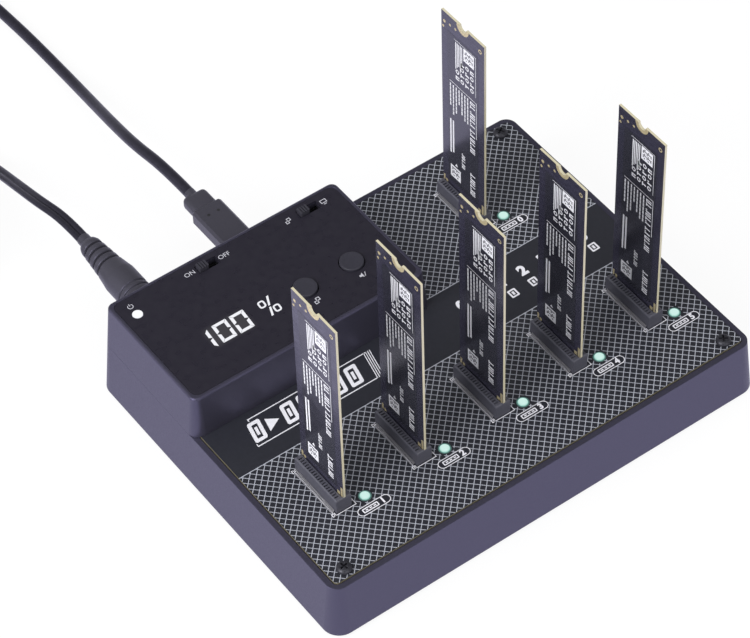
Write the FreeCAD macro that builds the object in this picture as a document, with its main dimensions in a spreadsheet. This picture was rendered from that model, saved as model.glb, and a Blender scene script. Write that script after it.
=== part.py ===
import FreeCAD, Part
import math
import os
import Sketcher

# Drive duplicator: a low drafted base with a circuit board in its rim, six card-edge
# sockets with upright drive cards, and a raised control head over the back left corner.
# Origin: middle of the base at the underside of its feet. X along the long side, Y to
# the back, Z up. Millimetres.

doc = FreeCAD.newDocument("DriveDuplicator")
sheet = doc.addObject("Spreadsheet::Sheet", "Sizes")
NODES = []


# Driving dimensions: each has its word, its value and what it measures
SIZES = {
    # Base tray and its feet
    "base_length": 167.0,  # base at its foot, along X
    "base_width": 130.0,  # base at its foot, along Y
    "tray_height": 20.64,  # foot of the base shell to its rim
    "wall_lean": 2.0,  # how far each base wall leans in from foot to rim
    "corner_radius": 4.0,  # upright corners of base and head
    "rim_width": 2.0,  # rim beside the board
    "tray_wall": 3.2,  # base wall below the board ledge
    "tray_floor": 2.0,  # base floor
    "foot_height": 1.0,  # rubber foot below the base
    "foot_radius": 5.0,  # rubber foot
    "foot_recess": 0.8,  # foot sunk into the base floor
    "foot_inset": 13.0,  # foot centre from the base's foot edges
    "seat_clearance": 0.15,  # between a seated piece and its recess

    # Main board and its screws
    "board_thickness": 1.6,  # main board
    "board_proud": 0.56,  # main board above the rim
    "board_clearance": 0.2,  # main board to the rim, all round
    "board_corner": 1.5,  # main board corner
    "board_screw_side": 5.6,  # board screws from the rim's opening, left and right
    "board_screw_end": 3.4,  # board screws from the rim's opening, front and back
    "screw_radius": 1.5,  # shank of board and case screws
    "screw_head_radius": 2.7,  # head of board and case screws
    "screw_head_height": 1.7,  # head of board and case screws
    "screw_clearance": 0.2,  # round a screw shank
    "board_screw_length": 8.0,  # shank of a board screw
    "post_radius": 3.7,  # screw posts in the base
    "case_screw_grip": 6.0,  # case screw inside the head's boss

    # Sockets
    "socket_thickness": 5.6,  # socket body across the card
    "socket_shift": 0.3,  # socket middle from the card's middle, towards minus X
    "socket_length": 21.9,  # socket body along the card
    "socket_height": 5.7,  # socket body above the board
    "socket_edge": 0.35,  # bevel round the socket's top
    "card_clearance": 0.25,  # card to the slot walls
    "card_seat": 1.8,  # lower edge of the card above the board
    "key_place": 6.125,  # key notch from the card's middle, towards minus Y
    "key_width": 1.2,  # key notch
    "key_depth": 3.5,  # key notch
    "window_offset": 1.4,  # contact windows from the card's face
    "window_depth": 0.6,  # contact windows
    "window_width": 0.5,  # contact windows along the card
    "window_reach": 1.5,  # contact windows across the card
    "contact_pitch": 1.1,  # contact windows
    "contact_count": 18,  # contact windows in one row
    "leg_pitch": 2.2,  # solder legs
    "leg_count": 9,  # solder legs in one row
    "leg_reach": 1.3,  # solder legs out from the socket's foot
    "leg_width": 0.45,  # solder legs
    "leg_height": 0.25,  # solder legs
    "comb_height": 0.9,  # upright part of the contact comb
    "comb_thickness": 0.3,  # upright part of the contact comb

    # Drive cards
    "drive_pitch": 30.48,  # target drives
    "drive_row_x": 0.6,  # middle target drive from the base's middle
    "drive_row_front": 34.62,  # middle of the target drives from the rim's front
    "source_x": 44.16,  # source drive from the base's middle
    "source_back": 25.0,  # middle of the source drive from the rim's back
    "card_width": 22.0,  # drive card
    "card_length": 80.0,  # drive card
    "card_thickness": 0.8,  # drive card
    "card_edge_width": 19.85,  # drive card at its contact edge
    "card_shoulder": 4.0,  # contact edge to the shoulders
    "card_notch_radius": 1.75,  # half-round screw notch at the card's top
    "chip_thickness": 1.2,  # drive chips
    "memory_width": 13.6,  # memory chips across the card
    "memory_length": 17.5,  # memory chips along the card
    "memory_low": 33.0,  # first memory chip above the contact edge
    "memory_pitch": 20.5,  # memory chips
    "processor_side": 11.0,  # drive controller chip
    "processor_low": 13.0,  # drive controller above the contact edge

    # Lights beside the sockets
    "light_ahead": 7.8,  # status light from its card, towards plus X
    "light_side": 10.5,  # status light from its card's middle, towards minus Y
    "light_length": 2.0,  # status light along X
    "light_width": 1.25,  # status light along Y
    "light_height": 0.7,  # status light above the board

    # Control head
    "head_length": 91.6,  # head at its foot, along X
    "head_width": 52.8,  # head at its foot, along Y
    "head_height": 16.68,  # rim to the head's top
    "head_wall": 2.0,  # head wall and top
    "head_edge": 0.9,  # rounding of the head's upper edge
    "overlay_inset": 1.3,  # overlay from the head's upper edge
    "overlay_thickness": 0.5,  # overlay
    "overlay_gap": 0.1,  # overlay to its recess
    "overlay_corner": 2.6,  # overlay corner
    "boss_radius": 2.9,  # screw bosses of the head
    "boss_side": 6.0,  # head bosses from the head's left and right
    "boss_front": 6.3,  # front head bosses from the head's front
    "boss_back": 19.0,  # back head bosses from the head's back

    # Control board
    "panel_level": 7.8,  # control board's underside above the main board
    "panel_thickness": 1.6,  # control board
    "panel_left": 10.0,  # control board from the head's left
    "panel_right": 9.6,  # control board from the head's right
    "panel_front": 3.3,  # control board from the head's front
    "panel_back": 3.0,  # control board from the head's back
    "panel_post_side": 3.0,  # control board posts from the board's edges
    "panel_post_radius": 2.2,  # control board posts
    "panel_screw_radius": 1.0,  # control board screws
    "panel_screw_head": 1.9,  # head of the control board screws
    "panel_screw_rise": 1.2,  # head height of the control board screws
    "panel_screw_grip": 3.0,  # control board screw in its post

    # Display, switches, buttons and power light
    "display_left": 32.5,  # display middle from the head's left
    "display_back": 33.3,  # display middle from the head's back
    "display_length": 31.0,  # display module
    "display_width": 12.5,  # display module
    "display_gap": 0.3,  # display module to its opening
    "power_switch_left": 37.0,  # power switch from the head's left
    "mode_switch_right": 15.3,  # mode switch from the head's right
    "switch_back": 6.9,  # slide switches from the head's back
    "slot_length": 8.0,  # switch slot
    "slot_width": 3.4,  # switch slot
    "knob_length": 3.5,  # switch knob
    "knob_width": 2.9,  # switch knob
    "knob_rise": 1.5,  # switch knob above the overlay
    "knob_travel": 4.0,  # switch knob
    "switch_case_length": 11.0,  # switch case
    "switch_case_width": 5.6,  # switch case
    "switch_case_height": 3.4,  # switch case
    "switch_well": 1.6,  # depth of the well that the knob slides in
    "clone_share": 0.18,  # clone button, on the way from the display to the head's right
    "mute_share": 0.595,  # mute button, on the same way
    "button_back": 33.9,  # buttons from the head's back
    "button_radius": 4.0,  # buttons
    "button_rise": 0.8,  # buttons above the overlay
    "button_gap": 0.3,  # button to its hole
    "button_flange": 0.9,  # flange wider than the button
    "button_flange_height": 0.8,  # button flange
    "button_travel": 0.6,  # button
    "button_edge": 0.35,  # bevel of the button
    "tact_side": 6.0,  # push-switch body
    "tact_height": 1.9,  # push-switch body
    "plunger_radius": 1.6,  # push-switch plunger
    "plunger_sink": 0.6,  # plunger inside the push-switch body at rest
    "power_light_left": 7.8,  # power light from the head's left
    "power_light_back": 10.7,  # power light from the head's back
    "power_light_radius": 1.7,  # power light

    # What stands on the main board under the head
    "header_from_port": 14.0,  # board header from the data port, towards minus X
    "header_back": 10.9,  # board header from the head's back
    "header_length": 12.0,  # board header
    "header_width": 5.0,  # board header
    "main_chip_right": 8.0,  # main controller from the head's middle, towards plus X
    "main_chip_side": 14.0,  # main controller
    "bridge_chip_right": 19.0,  # bridge controller from the main one, towards plus X
    "bridge_chip_side": 9.0,  # bridge controller
    "small_chip_length": 6.0,  # memory chip under the head
    "small_chip_width": 5.0,  # memory chip under the head
    "chip_row": 6.5,  # chips in front of and behind the head's middle
    "supply_left": 26.0,  # first inductor and capacitor from the head's middle
    "supply_pitch": 10.0,  # inductors and capacitors
    "inductor_row": 4.0,  # inductors in front of the head's middle
    "inductor_side": 7.0,  # inductors
    "inductor_height": 4.0,  # inductors
    "capacitor_back": 20.4,  # capacitors from the head's back
    "capacitor_radius": 3.15,  # capacitors
    "capacitor_height": 6.0,  # capacitors
    "buzzer_left": 22.0,  # buzzer from the head's middle, towards minus X
    "buzzer_front": 11.4,  # buzzer from the head's front
    "buzzer_radius": 6.0,  # buzzer
    "buzzer_height": 6.5,  # buzzer

    # Ports in the head's back wall
    "jack_left": 15.9,  # power jack from the head's left
    "jack_axis": 6.4,  # power jack's axis above the board
    "jack_width": 9.0,  # power jack
    "jack_height": 10.8,  # power jack
    "jack_length": 12.0,  # power jack
    "jack_nose_radius": 4.2,  # power jack's round nose
    "jack_bore_radius": 3.05,  # power jack's bore
    "jack_pin_radius": 1.0,  # power jack's centre pin
    "port_left": 56.9,  # data port from the head's left
    "port_length": 7.4,  # data port
    "port_wall": 0.25,  # data port's metal shell
    "port_play": 0.18,  # data plug's shell to the port
    "tongue_width": 6.2,  # data port's tongue
    "tongue_thickness": 0.6,  # data port's tongue

    # Plugs, leads and what they end in
    "plug_gap": 0.4,  # plug bodies behind the head's back foot
    "barrel_radius": 2.75,  # power plug's barrel
    "barrel_bore": 1.35,  # power plug's barrel inside
    "barrel_length": 9.0,  # power plug's barrel
    "power_plug_radius": 5.7,  # power plug's body
    "power_plug_straight": 17.0,  # power plug's straight body
    "power_plug_cone": 8.0,  # power plug's cone
    "power_plug_relief": 9.4,  # power plug's ribbed relief
    "relief_radius": 3.3,  # power plug's relief at the cone
    "relief_ribs": 4,  # ribs on the power plug's relief
    "lead_width": 4.4,  # flat twin lead across both wires
    "lead_thickness": 2.2,  # flat twin lead across one wire
    "data_shell_width": 8.25,  # data plug's metal shell
    "data_shell_thickness": 2.4,  # data plug's metal shell
    "data_shell_length": 6.4,  # data plug's metal shell
    "data_shell_wall": 0.45,  # data plug's metal shell
    "data_body_width": 11.2,  # data plug's moulded body
    "data_body_thickness": 5.8,  # data plug's moulded body
    "data_body_length": 24.5,  # data plug's moulded body
    "data_collar_length": 9.4,  # data plug's tapered collar
    "data_collar_width": 7.6,  # data plug's collar at the body
    "cable_diameter": 3.9,  # data cable
    "lead_coil_radius": 24.2,  # power lead's coil at the middle of its turns
    "lead_coil_across": 3,  # turns side by side in the power lead's coil
    "lead_coil_layers": 3,  # layers of the power lead's coil
    "cable_coil_radius": 21.5,  # data cable's coil at the middle of its turns
    "cable_coil_across": 3,  # turns side by side in the data cable's coil
    "cable_coil_layers": 2,  # layers of the data cable's coil
    "adapter_relief": 16.0,  # power adapter's relief
    "adapter_length": 56.0,  # power adapter along Y
    "adapter_width": 38.0,  # power adapter along X
    "adapter_height": 27.0,  # power adapter
    "adapter_corner": 3.5,  # power adapter's long edges
    "blade_length": 16.0,  # adapter's blades
    "blade_width": 6.3,  # adapter's blades
    "blade_thickness": 1.5,  # adapter's blades
    "blade_pitch": 12.7,  # adapter's blades
    "host_body_width": 15.6,  # host plug's moulded body
    "host_body_thickness": 7.8,  # host plug's moulded body
    "host_body_length": 22.0,  # host plug's moulded body
    "host_shell_width": 12.0,  # host plug's metal shell
    "host_shell_thickness": 4.5,  # host plug's metal shell
    "host_shell_length": 18.5,  # host plug's metal shell
}
for row, (alias, number) in enumerate(SIZES.items(), start=1):
    sheet.set(f"A{row}", str(number))
    sheet.setAlias(f"A{row}", alias)
doc.recompute()

# Levels and places that follow from the driving dimensions
TRAY_UNDER = "Sizes.foot_height"
RIM = "(Sizes.foot_height + Sizes.tray_height)"
BOARD_TOP = f"({RIM} + Sizes.board_proud)"
BOARD_UNDER = f"({BOARD_TOP} - Sizes.board_thickness)"
RIM_LENGTH = "(Sizes.base_length - 2 * Sizes.wall_lean)"
RIM_BREADTH = "(Sizes.base_width - 2 * Sizes.wall_lean)"
OPENING_LENGTH = f"({RIM_LENGTH} - 2 * Sizes.rim_width)"
OPENING_BREADTH = f"({RIM_BREADTH} - 2 * Sizes.rim_width)"
HEAD_TOP = f"({RIM} + Sizes.head_height)"
HEAD_LEFT = f"(0 - {RIM_LENGTH} / 2)"
HEAD_RIGHT = f"({HEAD_LEFT} + Sizes.head_length)"
HEAD_BACK = f"({RIM_BREADTH} / 2)"
HEAD_FRONT = f"({HEAD_BACK} - Sizes.head_width)"
HEAD_X = f"({HEAD_LEFT} + Sizes.head_length / 2)"
HEAD_Y = f"({HEAD_BACK} - Sizes.head_width / 2)"
HEAD_LEAN = "(Sizes.wall_lean * Sizes.head_height / Sizes.tray_height)"
CEILING = f"({HEAD_TOP} - Sizes.overlay_thickness - Sizes.head_wall)"
PANEL_UNDER = f"({BOARD_TOP} + Sizes.panel_level)"
PANEL_TOP = f"({PANEL_UNDER} + Sizes.panel_thickness)"
BOSS_ROWS = (
    f"({HEAD_FRONT} + Sizes.boss_front)",
    f"({HEAD_BACK} - Sizes.boss_back)",
)
BOSS_COLUMNS = (f"({HEAD_LEFT} + Sizes.boss_side)", f"({HEAD_RIGHT} - Sizes.boss_side)")
BOSSES = [(x, y) for x in BOSS_COLUMNS for y in BOSS_ROWS]
SCREW_X = f"({OPENING_LENGTH} / 2 - Sizes.board_screw_side)"
SCREW_Y = f"({OPENING_BREADTH} / 2 - Sizes.board_screw_end)"
BOARD_SCREWS = (
    (f"(0 - {SCREW_X})", f"(0 - {SCREW_Y})"),
    (SCREW_X, f"(0 - {SCREW_Y})"),
    (SCREW_X, SCREW_Y),
)
PANEL_LEFT = f"({HEAD_LEFT} + Sizes.panel_left)"
PANEL_RIGHT = f"({HEAD_RIGHT} - Sizes.panel_right)"
PANEL_FRONT = f"({HEAD_FRONT} + Sizes.panel_front)"
PANEL_BACK = f"({HEAD_BACK} - Sizes.panel_back)"
PANEL_POSTS = [
    (x, y)
    for x in (f"({PANEL_LEFT} + Sizes.panel_post_side)", f"({PANEL_RIGHT} - Sizes.panel_post_side)")
    for y in BOSS_ROWS
]
CONTROL_ROW = f"({HEAD_BACK} - Sizes.switch_back)"
BUTTON_ROW = f"({HEAD_BACK} - Sizes.button_back)"
DISPLAY = (f"({HEAD_LEFT} + Sizes.display_left)", f"({HEAD_BACK} - Sizes.display_back)")
POWER_LIGHT = (
    f"({HEAD_LEFT} + Sizes.power_light_left)",
    f"({HEAD_BACK} - Sizes.power_light_back)",
)
SWITCHES = {
    "power_switch": f"({HEAD_LEFT} + Sizes.power_switch_left)",
    "mode_switch": f"({HEAD_RIGHT} - Sizes.mode_switch_right)",
}
DISPLAY_END = f"({HEAD_LEFT} + Sizes.display_left + Sizes.display_length / 2)"
BUTTONS = {
    "clone": f"({DISPLAY_END} + Sizes.clone_share * ({HEAD_RIGHT} - {DISPLAY_END}))",
    "mute": f"({DISPLAY_END} + Sizes.mute_share * ({HEAD_RIGHT} - {DISPLAY_END}))",
}
DRIVE_ROW = f"(Sizes.drive_row_front - {RIM_BREADTH} / 2)"
SOURCE_ROW = f"({RIM_BREADTH} / 2 - Sizes.source_back)"
TARGETS = [
    (f"target_{number}", f"(Sizes.drive_row_x + {number - 3} * Sizes.drive_pitch)", DRIVE_ROW)
    for number in range(1, 6)
]
CARDS = [("source", "Sizes.source_x", SOURCE_ROW)] + TARGETS
SLOT_THICKNESS = "(Sizes.card_thickness + 2 * Sizes.card_clearance)"
INSERTION = "(Sizes.socket_height - Sizes.card_seat)"
JACK_X = f"({HEAD_LEFT} + Sizes.jack_left)"
JACK_Z = f"({BOARD_TOP} + Sizes.jack_axis)"
PORT_X = f"({HEAD_LEFT} + Sizes.port_left)"
PORT_WIDTH = "(Sizes.data_shell_width + 2 * Sizes.port_play + 2 * Sizes.port_wall)"
PORT_HEIGHT = "(Sizes.data_shell_thickness + 2 * Sizes.port_play + 2 * Sizes.port_wall)"
PORT_Z = f"({BOARD_TOP} + {PORT_HEIGHT} / 2)"
SLOPE = "(Sizes.wall_lean / Sizes.tray_height)"
JACK_WALL = f"({HEAD_BACK} - {SLOPE} * ({JACK_Z} - {RIM}))"
PORT_WALL = f"({HEAD_BACK} - {SLOPE} * ({PORT_Z} - {RIM}))"
WALL_INSIDE = f"({HEAD_BACK} - {SLOPE} * ({CEILING} - {RIM}) - Sizes.head_wall)"


def value(expression):
    """The number that an expression of the sheet stands for."""
    return float(sheet.evalExpression(str(expression)))


# Building blocks

def new_body(name, x="0", y="0", z="0"):
    """A named body placed at expressions."""
    body = doc.addObject("PartDesign::Body", name)
    place(body, x, y, z)
    return body


def place(piece, x, y, z):
    """Bind where a piece stands."""
    piece.setExpression("Placement.Base.x", str(x))
    piece.setExpression("Placement.Base.y", str(y))
    piece.setExpression("Placement.Base.z", str(z))


def new_sketch(body, name, plane="XY_Plane", offset="0"):
    """A sketch on one of the body's own origin planes."""
    sketch = body.newObject("Sketcher::SketchObject", f"{body.Name}_{name}")
    support = [feature for feature in body.Origin.OriginFeatures if feature.Role == plane][0]
    sketch.AttachmentSupport = [(support, "")]
    sketch.MapMode = "FlatFace"
    sketch.setExpression("AttachmentOffset.Base.z", str(offset))
    return sketch


def bind(sketch, kind, places, name, expression):
    """One driven dimension of a sketch."""
    index = sketch.addConstraint(Sketcher.Constraint(kind, *places, value(expression)))
    sketch.renameConstraint(index, name)
    sketch.setExpression(f"Constraints.{name}", str(expression))


def draw_circle(sketch, x, y, radius):
    """A circle held by its middle and radius."""
    middle = FreeCAD.Vector(value(x), value(y), 0)
    index = sketch.addGeometry(Part.Circle(middle, FreeCAD.Vector(0, 0, 1), value(radius)), False)
    bind(sketch, "DistanceX", (-1, 1, index, 3), f"x{index}", x)
    bind(sketch, "DistanceY", (-1, 1, index, 3), f"y{index}", y)
    bind(sketch, "Radius", (index,), f"radius{index}", radius)


def draw_outline(sketch, corners):
    """A closed run of straight lines through corners given as expressions."""
    points = [FreeCAD.Vector(value(x), value(y), 0) for x, y in corners]
    first = sketch.GeometryCount
    count = len(points)
    for index in range(count):
        sketch.addGeometry(Part.LineSegment(points[index], points[(index + 1) % count]), False)
    for index in range(count):
        line = first + index
        following = first + (index + 1) % count
        sketch.addConstraint(Sketcher.Constraint("Coincident", line, 2, following, 1))
    for index, (x, y) in enumerate(corners):
        bind(sketch, "DistanceX", (-1, 1, first + index, 1), f"x{first + index}", x)
        bind(sketch, "DistanceY", (-1, 1, first + index, 1), f"y{first + index}", y)


def draw_rectangle(sketch, x, y, length, width):
    """A sharp rectangle about its middle."""
    left = f"({x}) - ({length}) / 2"
    right = f"({x}) + ({length}) / 2"
    low = f"({y}) - ({width}) / 2"
    high = f"({y}) + ({width}) / 2"
    draw_outline(sketch, ((left, low), (right, low), (right, high), (left, high)))


def draw_rounded(sketch, x, y, length, width, radius):
    """A rectangle with rounded corners about its middle: four lines and four arcs."""
    middle_x, middle_y, round_off = value(x), value(y), value(radius)
    half_x, half_y = value(length) / 2, value(width) / 2
    inner_x, inner_y = half_x - round_off, half_y - round_off
    first = sketch.GeometryCount
    for turn, (side_x, side_y) in enumerate(((1, -1), (1, 1), (-1, 1), (-1, -1))):
        start = math.radians(90 * turn - 90)
        centre = FreeCAD.Vector(middle_x + side_x * inner_x, middle_y + side_y * inner_y, 0)
        circle = Part.Circle(centre, FreeCAD.Vector(0, 0, 1), round_off)
        sketch.addGeometry(Part.ArcOfCircle(circle, start, start + math.pi / 2), False)
    for turn in range(4):
        ends = [sketch.getPoint(first + turn, 2), sketch.getPoint(first + (turn + 1) % 4, 1)]
        sketch.addGeometry(Part.LineSegment(*ends), False)
    for turn in range(4):
        arc, line = first + turn, first + 4 + turn
        following = first + (turn + 1) % 4
        sketch.addConstraint(Sketcher.Constraint("Tangent", arc, 2, line, 1))
        sketch.addConstraint(Sketcher.Constraint("Tangent", line, 2, following, 1))
        kind = "Vertical" if turn % 2 == 0 else "Horizontal"
        sketch.addConstraint(Sketcher.Constraint(kind, line))
        if turn:
            sketch.addConstraint(Sketcher.Constraint("Equal", first, arc))
    right, left, bottom, top = first + 4, first + 6, first + 7, first + 5
    bind(sketch, "Radius", (first,), f"radius{first}", radius)
    bind(sketch, "DistanceX", (-1, 1, left, 1), f"left{first}", f"({x}) - ({length}) / 2")
    bind(sketch, "DistanceX", (-1, 1, right, 1), f"right{first}", f"({x}) + ({length}) / 2")
    bind(sketch, "DistanceY", (-1, 1, bottom, 1), f"bottom{first}", f"({y}) - ({width}) / 2")
    bind(sketch, "DistanceY", (-1, 1, top, 1), f"top{first}", f"({y}) + ({width}) / 2")


def pad(body, sketch, length, down=False, lean=None):
    """Thicken a sketch into the body; lean is how far its sides move in by the far end."""
    feature = body.newObject("PartDesign::Pad", f"{sketch.Name}_pad")
    feature.Profile = sketch
    feature.Reversed = down
    feature.setExpression("Length", str(length))
    if lean:
        feature.setExpression("TaperAngle", f"-atan({lean} / ({length}))")
    return feature


def pocket(body, sketch, depth, up=False, lean=None):
    """Cut a sketch out of the body, and see that the cut took something away."""
    doc.recompute()
    before = body.Shape.Volume
    feature = body.newObject("PartDesign::Pocket", f"{sketch.Name}_pocket")
    feature.Profile = sketch
    feature.Reversed = up
    feature.setExpression("Length", str(depth))
    if lean:
        feature.setExpression("TaperAngle", f"-atan({lean} / ({depth}))")
    doc.recompute()
    if not body.Shape.Volume < before - 1e-4:
        raise RuntimeError(f"{feature.Name} takes nothing away")
    return feature


def loft(body, lower, upper, kind="Additive"):
    """A straight-sided loft between two sketches."""
    feature = body.newObject(f"PartDesign::{kind}Loft", f"{upper.Name}_loft")
    feature.Profile = (lower, [""])
    feature.Sections = [(upper, [""])]
    feature.Ruled = True
    return feature


def repeat(body, feature, sketch, step, count, axis="V_Axis"):
    """Repeat a feature along an axis of its sketch."""
    pattern = body.newObject("PartDesign::LinearPattern", f"{feature.Name}_row")
    pattern.Originals = [feature]
    pattern.Direction = (sketch, [axis])
    pattern.Mode = "Spacing"
    pattern.setExpression("Offset", str(step))
    pattern.setExpression("Occurrences", str(count))
    body.Tip = pattern
    return pattern


def round_edges(body, wanted, radius, kind="Fillet"):
    """Round or bevel the body's edges that a test picks."""
    doc.recompute()
    base = body.Tip
    names = [f"Edge{index + 1}" for index, edge in enumerate(base.Shape.Edges) if wanted(edge)]
    feature = body.newObject(f"PartDesign::{kind}", f"{body.Name}_{kind.lower()}{len(body.Group)}")
    feature.Base = (base, names)
    feature.setExpression("Radius" if kind == "Fillet" else "Size", str(radius))
    return feature


def block(name, x, y, z, length, width, height):
    """A box about x and y, standing on z."""
    piece = doc.addObject("Part::Box", name)
    piece.setExpression("Length", str(length))
    piece.setExpression("Width", str(width))
    piece.setExpression("Height", str(height))
    place(piece, f"({x}) - ({length}) / 2", f"({y}) - ({width}) / 2", z)
    return piece


def rod(name, x, y, z, radius, height, along="Z"):
    """A cylinder whose axis starts at x, y, z and runs up, or to the back for Y."""
    piece = doc.addObject("Part::Cylinder", name)
    if along == "Y":
        piece.Placement.Rotation = FreeCAD.Rotation(FreeCAD.Vector(1, 0, 0), -90)
    piece.setExpression("Radius", str(radius))
    piece.setExpression("Height", str(height))
    place(piece, x, y, z)
    return piece


def fuse(name, pieces):
    """Join pieces into one solid."""
    piece = doc.addObject("Part::MultiFuse", name)
    piece.Shapes = pieces
    piece.Refine = True
    return piece


def cut(name, base, tools):
    """Take tools away from a base."""
    piece = doc.addObject("Part::Cut", name)
    piece.Base = base
    piece.Tool = tools[0] if len(tools) == 1 else fuse(f"{name}_tools", tools)
    return piece


def group(name, pieces):
    """Equal separate solids that share one node."""
    piece = doc.addObject("Part::Compound", name)
    piece.Links = pieces
    return piece


def keep(name, piece):
    """Name a finished sub-part; its label is its file's name."""
    piece.Label = name
    NODES.append(piece)
    return piece


# Base

def base_tray():
    """The drafted shell: leaning walls, board ledge, screw posts, foot recesses."""
    body = new_body("base_tray", z=TRAY_UNDER)
    foot = new_sketch(body, "foot")
    draw_rounded(foot, "0", "0", "Sizes.base_length", "Sizes.base_width",
                 "(Sizes.corner_radius + Sizes.wall_lean)")
    pad(body, foot, "Sizes.tray_height", lean="Sizes.wall_lean")
    ledge = f"({BOARD_UNDER} - Sizes.foot_height)"
    recess = new_sketch(body, "recess", offset="Sizes.tray_height")
    recess_corner = "(Sizes.board_corner + Sizes.board_clearance)"
    draw_rounded(recess, "0", "0", OPENING_LENGTH, OPENING_BREADTH, recess_corner)
    pocket(body, recess, f"Sizes.tray_height - {ledge}")
    cavity = new_sketch(body, "cavity", offset="Sizes.tray_floor")
    inward = f"({SLOPE} * Sizes.tray_floor + Sizes.tray_wall)"
    draw_rounded(cavity, "0", "0", f"(Sizes.base_length - 2 * {inward})",
                 f"(Sizes.base_width - 2 * {inward})", "Sizes.corner_radius")
    depth = f"({ledge} - Sizes.tray_floor)"
    pocket(body, cavity, depth, up=True, lean=f"({SLOPE} * {depth})")
    posts = new_sketch(body, "posts", offset="Sizes.tray_floor")
    for x, y in list(BOARD_SCREWS) + BOSSES:
        draw_circle(posts, x, y, "Sizes.post_radius")
    posts_pad = pad(body, posts, f"{ledge} - Sizes.tray_floor")
    posts_pad.AllowMultiFace = True
    blind = new_sketch(body, "board_screw_bores", offset=ledge)
    for x, y in BOARD_SCREWS:
        draw_circle(blind, x, y, "Sizes.screw_radius + Sizes.screw_clearance")
    pocket(body, blind, "Sizes.board_screw_length - Sizes.board_thickness + 0.5 * Sizes.tray_floor")
    through = new_sketch(body, "case_screw_bores")
    for x, y in BOSSES:
        draw_circle(through, x, y, "Sizes.screw_radius + Sizes.screw_clearance")
    pocket(body, through, ledge, up=True)
    heads = new_sketch(body, "case_screw_heads")
    for x, y in BOSSES:
        draw_circle(heads, x, y, "Sizes.screw_head_radius + Sizes.screw_clearance")
    pocket(body, heads, "Sizes.screw_head_height + 2 * Sizes.screw_clearance", up=True)
    feet = new_sketch(body, "foot_recesses")
    for x, y in FEET:
        draw_circle(feet, x, y, "Sizes.foot_radius + Sizes.seat_clearance")
    pocket(body, feet, "Sizes.foot_recess", up=True)
    keep("base_tray", body)


FEET = [
    (f"({side_x} * (Sizes.base_length / 2 - Sizes.foot_inset))",
     f"({side_y} * (Sizes.base_width / 2 - Sizes.foot_inset))")
    for side_x in (-1, 1) for side_y in (-1, 1)
]


def rubber_feet():
    """Four round feet, each in its recess under the base."""
    height = "Sizes.foot_height + Sizes.foot_recess"
    feet = [rod(f"foot_{i}", x, y, "0", "Sizes.foot_radius", height) for i, (x, y) in enumerate(FEET)]
    keep("rubber_feet", group("rubber_feet", feet))


def main_board():
    """The board that fills the rim, with its screw holes."""
    body = new_body("main_board", z=BOARD_UNDER)
    outline = new_sketch(body, "outline")
    length = f"({OPENING_LENGTH} - 2 * Sizes.board_clearance)"
    width = f"({OPENING_BREADTH} - 2 * Sizes.board_clearance)"
    draw_rounded(outline, "0", "0", length, width, "Sizes.board_corner")
    pad(body, outline, "Sizes.board_thickness")
    holes = new_sketch(body, "holes", offset="Sizes.board_thickness")
    for x, y in list(BOARD_SCREWS) + BOSSES:
        draw_circle(holes, x, y, "Sizes.screw_radius + Sizes.screw_clearance")
    pocket(body, holes, "Sizes.board_thickness")
    keep("main_board", body)


def screw(name, x, y, seat, length, radius, head_radius, head_height, head_up=True):
    """A flat-headed screw whose head sits on the level seat, above or below it."""
    body = new_body(name, x, y, seat)
    head = new_sketch(body, "head")
    draw_circle(head, "0", "0", head_radius)
    pad(body, head, head_height, down=not head_up)
    shank = new_sketch(body, "shank")
    draw_circle(shank, "0", "0", radius)
    pad(body, shank, length, down=head_up)
    return body


def board_screws():
    """The three screws that hold the board where the head leaves it open."""
    pieces = [
        screw(f"board_screw_{i}", x, y, BOARD_TOP, "Sizes.board_screw_length", "Sizes.screw_radius",
              "Sizes.screw_head_radius", "Sizes.screw_head_height")
        for i, (x, y) in enumerate(BOARD_SCREWS)
    ]
    keep("board_screws", group("board_screws", pieces))


def case_screws():
    """Four screws from below, through base and board into the head's bosses."""
    seat = "(Sizes.foot_height + Sizes.screw_head_height + 2 * Sizes.screw_clearance)"
    length = f"({BOARD_TOP} + Sizes.case_screw_grip - {seat})"
    pieces = [
        screw(f"case_screw_{i}", x, y, seat, length, "Sizes.screw_radius",
              "Sizes.screw_head_radius", "Sizes.screw_head_height", head_up=False)
        for i, (x, y) in enumerate(BOSSES)
    ]
    keep("case_screws", group("case_screws", pieces))


# Sockets and lights

def socket(name, x, y):
    """A keyed card-edge socket: bevelled block, slot, key rib and contact windows."""
    body = new_body(name, x, y, BOARD_TOP)
    outline = new_sketch(body, "outline")
    draw_rectangle(outline, "(0 - Sizes.socket_shift)", "0", "Sizes.socket_thickness",
                   "Sizes.socket_length")
    pad(body, outline, "Sizes.socket_height")
    top = value("Sizes.socket_height")
    round_edges(body, lambda edge: edge.BoundBox.ZMin > top - 1e-4, "Sizes.socket_edge", "Chamfer")
    slot = new_sketch(body, "slot", offset="Sizes.socket_height")
    slot_length = "(Sizes.card_edge_width + 2 * Sizes.card_clearance)"
    draw_rectangle(slot, "0", "0", SLOT_THICKNESS, slot_length)
    pocket(body, slot, f"{INSERTION} + Sizes.card_clearance")
    key = new_sketch(body, "key", offset=f"Sizes.card_seat - Sizes.card_clearance")
    draw_rectangle(key, "0", "(0 - Sizes.key_place)", SLOT_THICKNESS,
                   "(Sizes.key_width - 2 * Sizes.card_clearance)")
    pad(body, key, "Sizes.key_depth")
    window = new_sketch(body, "window", offset="Sizes.socket_height")
    first = "((1 - Sizes.contact_count) * Sizes.contact_pitch / 2)"
    middle = "(0 - Sizes.card_thickness / 2 - Sizes.window_offset)"
    draw_rectangle(window, middle, first, "Sizes.window_reach", "Sizes.window_width")
    cut_out = pocket(body, window, "Sizes.window_depth")
    repeat(body, cut_out, window, "Sizes.contact_pitch", "Sizes.contact_count")
    keep(name, body)


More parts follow.
